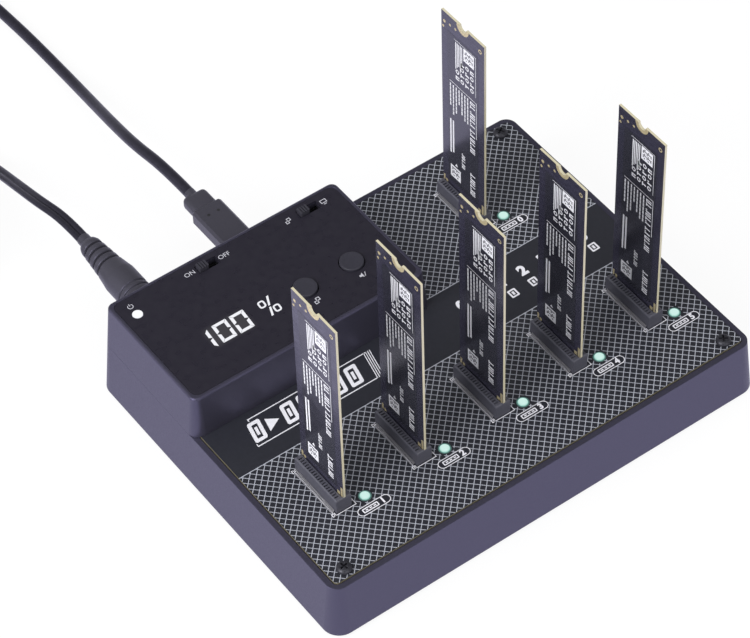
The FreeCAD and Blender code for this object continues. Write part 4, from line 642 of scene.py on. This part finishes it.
PRINT, PATCH = 0.04, 0.02
OUTLINE_LINE = 0.24
OUTLINE_AHEAD, OUTLINE_BEHIND = 3.7, 4.4
OUTLINE_LEFT, OUTLINE_RIGHT = 10.9, 11.5
CORNER_SQUARE = 1.3
PILL_LENGTH, PILL_WIDTH, PILL_LINE = 11.9, 3.3, 0.25
PILL_AHEAD, PILL_SIDE = 8.3, 15.2
LIGHT_AHEAD, LIGHT_SIDE = 8.2, 10.5
LIGHT_RADIUS, LIGHT_RISE = 1.7, 0.7
LIGHT_PATCH = (2.4, 2.1, 0.6)
HALO_WIDTH, HALO_RISE = 0.4, 0.05
board_top = corners("main_board")[1].z


def drive_places():
    """Each drive with the x of its card's front face and the y of its middle."""
    for drive in DRIVES:
        low, high = corners(f"{drive}_drive_card")
        yield drive, low.x, (low.y + high.y) / 2


def board_prints():
    """White outlines round the sockets, numbered pills, and bare patches under them."""
    white, patches = [], []
    for drive, x, y in drive_places():
        x0, x1 = x - OUTLINE_AHEAD, x + OUTLINE_BEHIND
        y0, y1 = y - OUTLINE_RIGHT, y + OUTLINE_LEFT
        patches.append(box_outline(x0, y0, x1, y1))
        white.append(frame_outlines(x0, y0, x1, y1, OUTLINE_LINE))
        for corner in (y0, y1 - CORNER_SQUARE):
            white.append(frame_outlines(x0 - CORNER_SQUARE / 2, corner, x0 + CORNER_SQUARE / 2,
                                        corner + CORNER_SQUARE, OUTLINE_LINE))
        pill_x, pill_y = x + PILL_AHEAD, y - PILL_SIDE
        half_length, half_width = PILL_LENGTH / 2, PILL_WIDTH / 2
        patches.append(box_about(pill_x, pill_y, half_length, half_width, half_width))
        white.append(frame_outlines(pill_x - half_length, pill_y - half_width, pill_x + half_length,
                                    pill_y + half_width, PILL_LINE, half_width))
        patches.append(box_about(x + LIGHT_AHEAD, y - LIGHT_SIDE, *LIGHT_PATCH))
    prints = plates(white, PRINT, board_top)
    for drive, x, y in drive_places():
        x, y = x + PILL_AHEAD, y - PILL_SIDE
        card_sign = frame_outlines(x - 4.2, y - 0.85, x + 1.6, y + 0.85, 0.4, 0.3)
        card_sign += [box_about(x + chip, y, 0.45, 0.2) for chip in (-2.75, -1.25, 0.25)]
        prints += plates([card_sign], PRINT, board_top)
        prints.append((text_mesh(NUMBERS[drive], 2.2, PRINT, 0.14), at(x + 3.3, y, board_top)))
    piece("board_print", prints, INK, "housing")
    bare = plates([[outline] for outline in patches], PATCH, board_top)
    piece("bare_patches", bare, MASK, "housing")


def status_lights():
    """Low round lenses beside the sockets, each with a faint ring of light on the board."""
    dome = [(radius * LIGHT_RADIUS, rise * LIGHT_RISE) for radius, rise in arc(0, 0, 1, 0, 90, 6)]
    lens = smooth(turned([(0, 0)] + dome[:-1] + [(0, LIGHT_RISE)], 32), 80)
    halo = flat_mesh([disc(0, 0, LIGHT_RADIUS + HALO_WIDTH)], HALO_RISE)
    places = [at(x + LIGHT_AHEAD, y - LIGHT_SIDE, board_top) for drive, x, y in drive_places()]
    parts = [(lens, place) for place in places]
    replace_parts(piece("status_lenses", parts, STATUS_GLOW, "housing"), "status_lights")
    piece("light_halos", [(halo, place) for place in places], HALO, "housing")


board_prints()
status_lights()


# Prints on the head's overlay

INK_RISE = 0.03
overlay_top = corners("top_overlay")[1].z


# icons about their own middles, two units wide: two sheets, a screen on its stand, and
# a loudspeaker crossed out
ICON_LINE = 0.24
SHEETS = [frame_outlines(-1, -1, 0.1, 0.1, ICON_LINE), frame_outlines(-0.2, -0.2, 1, 1, ICON_LINE)]
SCREEN = [frame_outlines(-1, -0.4, 1, 1, ICON_LINE), [box_outline(-0.5, -1, 0.5, ICON_LINE - 1)]]
SILENT = [[[(-1, -0.3), (-0.5, -0.3), (0, -0.8), (0, 0.8), (-0.5, 0.3), (-1, 0.3)]],
          [[(0.2, -0.6), (0.4, -0.6), (1, 0.6), (0.8, 0.6)]]]
ICONS = ((SHEETS, -13.3, 55.9, 1.1), (SCREEN, 0.7, 55.8, 1.1),
         (SHEETS, -25.6, 22.6, 1.2), (SILENT, -7.8, 22.6, 1.3))
POWER_MARK = (-73.8, 56.2)
SWITCH_WORDS = (("ON", -51.2, 56.2), ("OFF", -38.1, 56.1))


def overlay_prints():
    """Fine white marks by the switches, the buttons and the power light."""
    x, y = POWER_MARK
    open_ring = arc(x, y, 1.0, 125, 415, 20) + arc(x, y, 0.76, 415, 125, 20)
    groups = [[open_ring], [box_about(x, y + 0.7, 0.12, 0.5)]]
    for icon, *place in ICONS:
        groups += [[moved(outline, *place) for outline in group] for group in icon]
    prints = plates(groups, INK_RISE, overlay_top)
    for words, x, y in SWITCH_WORDS:
        prints.append((text_mesh(words, 1.75, INK_RISE), at(x, y, overlay_top)))
    piece("overlay_print", prints, FINE_INK, "housing")


overlay_prints()


# Display: seven-segment figures that shine through the film

FIGURE_HEIGHT, FIGURE_WIDTH, SEGMENT_LINE = 8.0, 5.3, 1.1
FIGURE_SLANT = math.radians(5)
FIGURES = ((-61.1, 29.8, "bc"), (-56.0, 30.0, "abcdef"), (-49.5, 29.9, "abcdef"))


def segment(x0, y0, x1, y1, first_corner, last_corner, line, gap=0.07):
    """One bar with mitred ends; its outer side is on the left of its direction."""
    start, end = Vector((x0, y0)), Vector((x1, y1))
    along = (end - start).normalized()
    side = Vector((-along.y, along.x)) * (line / 2)
    outer_first, outer_last = [gap - line / 2 if corner else gap for corner in (first_corner, last_corner)]
    inner = gap + line / 2
    return [tuple(p) for p in (start + along * outer_first + side, end - along * outer_last + side,
                               end - along * inner - side, start + along * inner - side)]


def figure(lit, width, height, line):
    """The lit bars of a seven-segment figure about its middle."""
    w, h = width / 2 - line / 2, height / 2 - line / 2
    bars = {"a": (-w, h, w, h, True, True), "b": (w, h, w, 0, True, False),
            "c": (w, 0, w, -h, False, True), "d": (w, -h, -w, -h, True, True),
            "e": (-w, -h, -w, 0, True, False), "f": (-w, 0, -w, h, False, True)}
    return [segment(*bars[name], line) for name in lit]


def slanted(outline, x, y):
    """An outline leaned to the right and moved to its place."""
    return moved([(u + v * math.tan(FIGURE_SLANT), v) for u, v in outline], x, y)


def display_figures():
    """The lit number and its per cent sign, over the glow that leaks round the bars."""
    lit = []
    for x, y, names in FIGURES:
        middle = x - FIGURE_WIDTH / 2 + SEGMENT_LINE / 2 if names == "bc" else x
        size = (FIGURE_WIDTH, FIGURE_HEIGHT, SEGMENT_LINE)
        lit += [slanted(bar, middle, y) for bar in figure(names, *size)]
    for side in (-1, 1):
        ring = frame_outlines(-1.25, -1.55, 1.25, 1.55, 0.6, 0.95)
        lit += [slanted(moved(line, side * 1.75, -side * 2.0), -38.9, 29.8) for line in ring]
    patch = plates([[box_about(*GLOW_MIDDLE, *GLOW_HALF, 1.5)]], INK_RISE / 3, overlay_top)
    piece("display_glow", patch, LEAKED_GLOW, "housing")
    lit.append([(-40.7, 26.0), (-39.9, 26.0), (-38.6, 29.5), (-39.3, 29.5)])
    lit.append([(-39.1, 30.1), (-38.4, 30.1), (-36.7, 33.8), (-37.5, 33.8)])
    piece("display_figures", plates([lit], INK_RISE, overlay_top), SEGMENT_GLOW, "housing")


display_figures()


# Prints on the bare band of the main board

BAND_FRONT, BAND_BACK, BAND_LINE = -3.5, 7.6, 0.35
SIGN_FOOT, SIGN_HEAD, SIGN_PITCH = -2.0, 6.0, 6.15
NUMBER_PITCH = 8.2
RIB_PITCH, RIB_WIDTH = 0.75, 0.28
SLANT = 0.22


def leaned(outline, foot):
    """An outline leaned to the right about a foot line."""
    return [(x + (y - foot) * SLANT, y) for x, y in outline]


def band_prints():
    """A framed row of signs for one drive copied to five, and a row of plain numbers."""
    groups = []
    for index in range(7):
        x = -67.2 + index * SIGN_PITCH
        if index == 1:
            middle = (SIGN_FOOT + SIGN_HEAD) / 2
            groups.append([leaned([(x, middle - 2.6), (x + 4.4, middle), (x, middle + 2.6)], SIGN_FOOT)])
            continue
        sheet = frame_outlines(x, SIGN_FOOT, x + 4.6, SIGN_HEAD, 1.25, 0.8)
        groups.append([leaned(outline, SIGN_FOOT) for outline in sheet])
        chip = box_outline(x + 1.8, SIGN_FOOT + 2.4, x + 2.8, SIGN_HEAD - 2.4)
        groups.append([leaned(chip, SIGN_FOOT)])
    groups += [[box_outline(-63.8, BAND_BACK - BAND_LINE, -18.5, BAND_BACK)],
               [box_outline(-67.4, BAND_FRONT, -21.6, BAND_FRONT + BAND_LINE)],
               [box_outline(-64.1, BAND_BACK - 1.0, -63.8, BAND_BACK)],
               [box_outline(-67.4, BAND_FRONT + BAND_LINE, -67.1, BAND_FRONT + 1.2)]]
    for index in range(4):
        x = -21.8 + index * RIB_PITCH
        groups.append([leaned(box_outline(x, BAND_FRONT, x + RIB_WIDTH, BAND_BACK), BAND_FRONT)])
    prints = plates(groups, PRINT, board_top)
    for index, words in enumerate("0>12345"):
        x = 17.5 + index * NUMBER_PITCH
        prints.append((text_mesh(words, 3.9, PRINT, 0.3), at(x, 4.6, board_top)))
        if words != ">":
            sheet = frame_outlines(x - 1.5, -2.9, x + 1.5, 0.5, 0.6, 0.4)
            dot = box_about(x, -1.2, 0.4, 0.7)
            prints += plates([sheet, [dot]], PRINT, board_top)
    piece("band_print", prints, INK, "housing")


band_prints()


# Drive cards: label, prints, gold and small parts on each face

CARD_FRONT = Matrix(((0, 0, -1, 0), (-1, 0, 0, 0), (0, 1, 0, 0), (0, 0, 0, 1)))
CARD_BACK = Matrix(((0, 0, 1, 0), (1, 0, 0, 0), (0, 1, 0, 0), (0, 0, 0, 1)))
CARD_WIDTH = 22.0
LABEL_BOX = (3.0, 6.2, 18.8, 73.2)
LABEL_RISE = 0.04
FINGERS, FINGER_PITCH, FINGER_WIDTH = 34, 0.54, 0.34
LINE_LENGTHS = (10.4, 13.7, 12.0, 6.7, 9.6, 11.7, 11.8)
LINE_PITCH, DASH_PITCH, DASH_LENGTH = 1.5, 1.7, 1.45
# place, size across and along, step, count and first kind of each row of marks
WORDS = ((14.7, 51.0, 2.5, 1.25, 1.75, 2, 0), (14.7, 46.6, 2.5, 1.25, 1.75, 4, 1),
         (14.7, 38.6, 2.5, 1.25, 1.75, 2, 2), (14.7, 34.6, 2.5, 1.25, 1.75, 4, 0),
         (14.7, 18.2, 2.5, 1.3, 1.7, 6, 2), (10.2, 23.6, 1.7, 1.0, 1.4, 5, 1))


def letter(u, v, across, along, kind):
    """A letter-sized mark that spells nothing: a fork, a bar with a dot, or a bar on a stem."""
    line = 0.34 * along
    low, high = (along - line) / 2, (along + line) / 2
    fork = [(0, 0), (across, 0), (across, line), (line, line), (line, along - line),
            (across, along - line), (across, along), (0, along)]
    dotted_bar = [box_outline(0, 0, across, line * 1.3), box_outline(0, along - line, line * 1.4, along)]
    stemmed_bar = [(0, 0), (line, 0), (line, low), (across, low), (across, high), (line, high),
                   (line, along), (0, along)]
    return [moved(outline, u, v) for outline in ([fork], dotted_bar, [stemmed_bar])[kind]]


def word(u, top, across, along, step, count, seed):
    """Letter-sized marks that read down the card."""
    outlines = []
    for index in range(count):
        kind = (index * 5 + seed) % 3
        outlines += letter(u, top - along - index * step, across, along, kind)
    return outlines


def code_square(u, v, side, cells):
    """A pale square with a plain pattern of cells left out of it."""
    cell = side / cells
    outlines = [box_outline(u, v, u + side, v + side)]
    for row in range(1, cells - 1):
        for column in range(1, cells - 1):
            if (row * row + 3 * column + row * column) % 3 == 0:
                x, y, half = u + (column + 0.5) * cell, v + (row + 0.5) * cell, cell / 2 - 0.04
                outlines.append(box_about(x, y, half, half))
    return outlines


def label_print():
    """Fine lines, marks and two pale squares, in the places that such a label has them."""
    outlines = code_square(11.4, 66.2, 5.4, 9) + code_square(4.2, 8.7, 5.3, 8)
    for index in range(5):
        u = 7.2 + index * 0.78
        outlines.append(box_outline(u, 59.6 + (index * 7 % 3), u + 0.42, 71.2))
    for row in range(4):
        for column in range(4):
            u, v = 7.3 + column * 2.5, 55.2 + row * 2.6
            if row > 1 and column < 1:
                continue
            if (row + column) % 2:
                outlines += [disc(u + 0.9, v + 0.9, 0.9, 12), disc(u + 0.9, v + 0.9, 0.5, 12)]
            else:
                outlines += letter(u, v, 1.9, 1.5, (row + column) % 3)
    for index, length in enumerate(LINE_LENGTHS):
        u = 4.2 + index * LINE_PITCH
        for dash in range(round(length / DASH_PITCH)):
            top = 51.2 - dash * DASH_PITCH
            outlines.append(box_outline(u, top - DASH_LENGTH, u + 0.55, top))
    outlines += [box_outline(4.1, 19.6, 4.8, 35.0), box_outline(5.45, 20.4, 6.15, 35.0)]
    for row in WORDS:
        outlines += word(*row)
    outlines.append([(6.6, 14.9), (8.0, 14.9), (7.3, 16.1)])
    return outlines


def card_gold(gap):
    """Plated half ring at the notch, test pads, and the fingers beside the key's gap."""
    half_ring = arc(11.0, 80.0, 3.1, 180, 360, 18) + arc(11.0, 80.0, 1.75, 360, 180, 18)
    outlines = [half_ring, disc(19.9, 76.6, 0.85, 16), disc(19.9, 76.6, 0.45, 16)]
    outlines += [disc(u, v, radius, 14) for u, v, radius in (
        (1.6, 76.0, 0.65), (4.5, 76.4, 0.5), (7.3, 76.6, 0.5), (1.0, 73.6, 0.5))]
    for index in range(FINGERS):
        u = CARD_WIDTH / 2 - 8.9 + index * FINGER_PITCH
        if index not in gap:
            outlines.append(box_outline(u, 0.3, u + FINGER_WIDTH, 3.3))
    return outlines + [box_outline(18.9, 3.7, 20.3, 5.2), box_outline(20.7, 3.7, 21.7, 7.9),
                       box_outline(0.3, 3.7, 1.1, 6.2), box_outline(1.5, 3.7, 2.5, 4.9)]


def small_parts():
    """Small blocks in two rows beside the chips: pairs of mesh and place on the card."""
    block = bevelled_box(1.0, 0.5, 0.5, 0.06, 2)
    return [(block, at(3.2 + column * 2.5, v, 0.25)) for v in (8.2, 29.6) for column in range(7)]


def dress_cards():
    """The same label, prints, gold and small parts on every drive card."""
    label = flat_mesh([box_outline(*LABEL_BOX, 0.6)], LABEL_RISE)
    ink = flat_mesh(label_print(), 0.02)
    rules = flat_mesh([box_outline(4.0, 52.1, 18.0, 52.3), box_outline(17.8, 36.0, 18.0, 52.1),
                       box_outline(6.6, 72.0, 17.7, 72.15), box_outline(17.5, 54.6, 17.65, 72.0)], 0.02)
    front_gold, back_gold = (flat_mesh(card_gold(gap), 0.03) for gap in ((27, 28, 29), (4, 5, 6)))
    for drive in DRIVES:
        low, high = corners(f"{drive}_drive_card")
        body = f"{drive}_drive"
        front = at(low.x, high.y, low.z) @ CARD_FRONT
        raised = front @ at(0, 0, LABEL_RISE)
        back = at(high.x, low.y, low.z) @ CARD_BACK
        piece(f"{drive}_label", [(label, front)], LABEL, body)
        piece(f"{drive}_label_print", [(ink, raised), (rules, raised)], INK, body)
        piece(f"{drive}_gold", [(front_gold, front), (back_gold, back)], GOLD, body)
        blocks = [(block, back @ place) for block, place in small_parts()]
        piece(f"{drive}_small_parts", blocks, CERAMIC, body)


dress_cards()


# Screws, keys, solder legs and plugs: finer pieces in the place of plain solids

def hollowed(mesh, tool):
    """A mesh with another one taken away."""
    holder, cutter = bpy.data.objects.new("holder", mesh), bpy.data.objects.new("cutter", tool)
    for made in (holder, cutter):
        bpy.context.scene.collection.objects.link(made)
    modifier = holder.modifiers.new("cut", "BOOLEAN")
    modifier.object = cutter
    view = bpy.context.evaluated_depsgraph_get()
    whole = bpy.data.meshes.new_from_object(holder.evaluated_get(view))
    bpy.data.objects.remove(holder)
    bpy.data.objects.remove(cutter)
    return whole


def screw_mesh(length):
    """A pan-head screw standing on zero: cross recess above, threaded shank below."""
    root, crest, pitch, point = 1.15, 1.48, 0.5, 0.7
    shank = [(0, -length), (0.8, -length)]
    for index in range(round((length - point - pitch) / pitch)):
        height = -length + point + index * pitch
        shank += [(root, height), (crest, height + pitch / 2)]
    head = softened([(1.3, 0), (2.5, 0), (2.5, 0.9), (1.7, 1.62), (0, 1.68)], 0.45)
    body = turned(shank + head, 24)
    arm, half = 1.45, 0.3
    cross = [(-half, -arm), (half, -arm), (half, -half), (arm, -half), (arm, half), (half, half),
             (half, arm), (-half, arm), (-half, half), (-arm, half), (-arm, -half), (-half, -half)]
    recess = flat_mesh([cross], 1.6)
    recess.transform(at(0, 0, 0.75))
    return smooth(hollowed(body, recess), 40)


def screws():
    """The board screws, head up, and the case screws, head down."""
    inset = 2.7
    low, high = corners("board_screws")
    seat = board_top
    mesh = screw_mesh(seat - low.z)
    places = ((low.x + inset, low.y + inset, 10), (high.x - inset, low.y + inset, 55),
              (high.x - inset, high.y - inset, 30))
    set_of = [(mesh, at(x, y, seat) @ about("Z", turn)) for x, y, turn in places]
    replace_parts(piece("pan_head_screws", set_of, ZINC, "housing"), "board_screws")
    low, high = corners("case_screws")
    seat = low.z + 1.7
    mesh = screw_mesh(high.z - seat)
    set_of = [(mesh, at(x, y, seat) @ about("X", 180))
              for x in (low.x + inset, high.x - inset) for y in (low.y + inset, high.y - inset)]
    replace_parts(piece("long_case_screws", set_of, ZINC, "housing"), "case_screws")


def round_key(name, body):
    """A push button: flange under the film, soft rim, slightly dished top."""
    low, high = corners(name)
    radius = (high.x - low.x) / 2
    top = high.z - low.z
    cap = radius - 0.9
    middle = (low + high) / 2
    profile = softened([(0, 0), (radius, 0), (radius, 0.8), (cap, 0.8), (cap, top - 0.02),
                        (cap - 0.8, top), (cap * 0.5, top - 0.12), (0, top - 0.16)], 0.35)
    parts = [(turned(profile, 64), at(middle.x, middle.y, low.z))]
    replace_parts(piece(f"{name}_cap", parts, KEYS, body), name)


def solder_legs():
    """Fine bent legs along both feet of every socket."""
    leg = flat_mesh([[(0.0, 0.5), (0.0, 0.9), (0.28, 0.9), (0.5, 0.28), (1.3, 0.2), (1.3, 0.0),
                      (0.4, 0.0), (0.2, 0.2)]], 0.26)
    leg.transform(at(0, 0, -0.13))
    count, pitch = 36, 0.55
    made = []
    for drive in DRIVES:
        low, high = corners(f"{drive}_socket")
        middle = (low.y + high.y) / 2
        for index in range(count):
            y = middle + (index - (count - 1) / 2) * pitch
            made.append((leg, at(high.x, y, low.z) @ about("X", 90)))
            made.append((leg, at(low.x, y, low.z) @ about("Z", 180) @ about("X", 90)))
    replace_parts(piece("solder_legs", made, TIN, "housing"), "socket_contacts")


def barrel_plug():
    """The round plug: grip rings by the socket, a shoulder, and a deeply slotted relief."""
    low, high = corners("power_plug_body")
    middle = (low + high) / 2
    radius, length = (high.x - low.x) / 2, high.y - low.y
    profile = [(0, 0), (radius - 0.4, 0), (radius, 0.5)]
    for height in (2.2, 4.2):
        profile += [(radius, height), (radius - 0.5, height + 0.3), (radius - 0.5, height + 0.5),
                    (radius, height + 0.8)]
    profile += [(radius, 12.5), (radius - 0.35, 14.5), (4.9, 17.6)]
    relief, rib_pitch, narrower = 17.6, 3.0, 0.28
    for rib in range(4):
        height, crest = relief + rib * rib_pitch, 4.85 - rib * narrower
        profile += [(crest, height + 0.3), (crest - 1.35, height + 0.5), (crest - 1.45, height + 1.25),
                    (crest - 0.2, height + 1.45), (crest - narrower, height + rib_pitch)]
    profile += [(3.2, 31.0), (2.3, 31.5), (2.25, length), (0, length)]
    parts = [(turned(softened(profile, 0.35, 3), 48), at(middle.x, low.y, middle.z) @ about("X", -90))]
    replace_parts(piece("round_plug_body", parts, PLUG, "power_cord"), "power_plug_body")


def flat_plug():
    """The flat data plug: body with bevelled edges, a narrower neck, and two dark discs on its top that
    are painted shade of two dimples.
    """
    low, high = corners("data_plug_body")
    width, length, height = high - low
    middle = (low + high) / 2
    body_length, neck_length, cuff_start = 24.4, 7.4, 31.0
    cuff_radius, cuff_length = CABLE_DIAMETER / 2 + 0.05, length - cuff_start
    cuff = turned([(0, 0), (cuff_radius, 0), (cuff_radius, cuff_length), (0, cuff_length)], 24)
    moulding = [
        (bevelled_box(width, body_length, height, 0.85, 1),
         at(middle.x, low.y + body_length / 2, middle.z)),
        (bevelled_box(9.0, neck_length + 2, height - 0.9, 1.7, 4),
         at(middle.x, low.y + body_length + neck_length / 2 - 1, middle.z)),
        (cuff, at(middle.x, low.y + cuff_start, middle.z) @ about("X", -90)),
    ]
    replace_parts(piece("flat_plug_body", moulding, PLUG, "data_cord"), "data_plug_body")
    # two dark discs just over the top face: painted shade of two small dimples, which are not cut in
    marks = [(flat_mesh([disc(-1.9, 0, 0.55, 16), disc(1.9, 0, 0.55, 16)], 0.02),
              at(middle.x, low.y + 19.5, high.z - 0.01))]
    piece("data_plug_dimple_shade", marks, EPOXY, "data_cord")


def host_plug():
    """The plug at the cable's far end: moulded body, ribbed relief, folded steel shell."""
    low, high = corners("host_plug")
    middle = (low + high) / 2
    relief, body_length = 7.8, 22.0
    body_end = high.x - relief - body_length
    profile = [(0, 0), (3.25, 0)]
    for rib in range(4):
        crest, height = 3.2 - rib * 0.25, rib * 1.7
        profile += [(crest, height + 0.6), (crest, height + 1.5), (2.3, height + 1.7), (2.3, height + 2.1)]
    profile += [(2.15, relief), (0, relief)]
    moulding = [
        (bevelled_box(body_length, 15.6, 7.8, 1.6, 5), at(body_end + body_length / 2, middle.y, middle.z)),
        (turned(softened(profile, 0.25, 3), 32), at(high.x - relief, middle.y, middle.z) @ about("Y", 90)),
    ]
    host = piece("host_plug_body", moulding, PLUG, "data_cord")
    shell_length = body_end - low.x
    shell = flat_mesh(frame_outlines(-2.25, -6.0, 2.25, 6.0, 0.35, 0.5), shell_length)
    parts = [(shell, at(body_end, middle.y, middle.z) @ about("Y", -90))]
    steel = piece("host_plug_shell", parts, STEEL, "data_cord")
    parts = [(bevelled_box(shell_length - 1.5, 11.0, 1.8, 0.2, 2),
              at(body_end - shell_length / 2, middle.y, middle.z - 0.9))]
    insert = piece("host_plug_tongue", parts, EPOXY, "data_cord")
    for part in (host, steel, insert):
        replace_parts(part, "host_plug")


screws()
round_key("clone_button", "clone_key")
round_key("mute_button", "mute_key")
solder_legs()
barrel_plug()
flat_plug()
host_plug()


# Stage and light

def make_stage():
    """A white bench: plain white to the eye with a faint shadow, and clear from below."""
    made, tree, shader = start("bench_white", "#f4f4f6", 0.8)
    way = add(tree, "LightPath")
    direct = add(tree, "Math", {0: way.outputs["Is Camera Ray"], 1: way.outputs["Is Transmission Ray"]},
                 operation="MAXIMUM")
    colour = add(tree, "Mix", {"Factor": direct, "A": "#ebe8ff", "B": "#ffffff"}, data_type="RGBA")
    glow = add(tree, "Emission", {"Color": colour, "Strength": 1.0})
    share = add(tree, "Math", {0: direct, 1: 0.88}, operation="MULTIPLY")
    share = add(tree, "Math", {0: share, 1: way.outputs["Is Glossy Ray"]}, operation="MAXIMUM")
    bench_face = add(tree, "MixShader", {"Fac": share, 1: shader, 2: glow})
    below = add(tree, "NewGeometry").outputs["Backfacing"]
    whole = add(tree, "MixShader", {"Fac": below, 1: bench_face, 2: add(tree, "BsdfTransparent")})
    feed(tree, tree.nodes["Material Output"].inputs["Surface"], whole)
    shape = bmesh.new()
    bmesh.ops.create_grid(shape, x_segments=8, y_segments=8, size=6.0)
    bench = bpy.data.objects.new("bench", mesh_from(shape))
    bench.location.z = -0.0002
    bench.data.materials.append(made)
    bpy.context.scene.collection.objects.link(bench)


def make_world():
    """White to the eye; reflections see a pale horizon under a dark ceiling."""
    world = bpy.data.worlds.new("studio")
    world.use_nodes = True
    bpy.context.scene.world = world
    tree = world.node_tree
    way = add(tree, "LightPath")
    upward = add(tree, "SeparateXYZ", {0: add(tree, "TexCoord").outputs["Generated"]}).outputs["Z"]
    studio = add(tree, "MapRange", {"Value": upward, "From Min": 0.05, "From Max": 0.6,
                                    "To Min": 0.6, "To Max": 0.1})
    strength = 0.0
    for ray, brightness in (("Is Camera Ray", 1.0), ("Is Transmission Ray", 1.0),
                            ("Is Glossy Ray", studio), ("Is Diffuse Ray", 0.7)):
        seen = add(tree, "Math", {0: way.outputs[ray], 1: brightness}, operation="MULTIPLY")
        strength = add(tree, "Math", {0: strength, 1: seen}, operation="MAXIMUM")
    background = tree.nodes["Background"]
    background.inputs["Color"].default_value = (1, 1, 1, 1)
    feed(tree, background.inputs["Strength"], strength)


def make_light(name, place, power, size, aim=(0, 20, 20)):
    """A square soft box aimed at the part; place and size in millimetres."""
    data = bpy.data.lights.new(name, "AREA")
    data.energy = power
    data.size = size * MM
    light = bpy.data.objects.new(name, data)
    towards = Vector(aim) - Vector(place)
    turn = towards.to_track_quat("-Z", "Y").to_matrix().to_4x4()
    light.matrix_world = at(*place) @ turn
    bpy.context.scene.collection.objects.link(light)


make_stage()
make_world()
make_light("left_soft_box", (-1250, -100, 900), 20, 900)
make_light("front_soft_box", (100, -1400, 900), 5, 900)
make_light("top_soft_box", (-200, -300, 1600), 4, 1000)
bpy.context.scene.view_settings.view_transform = "Standard"
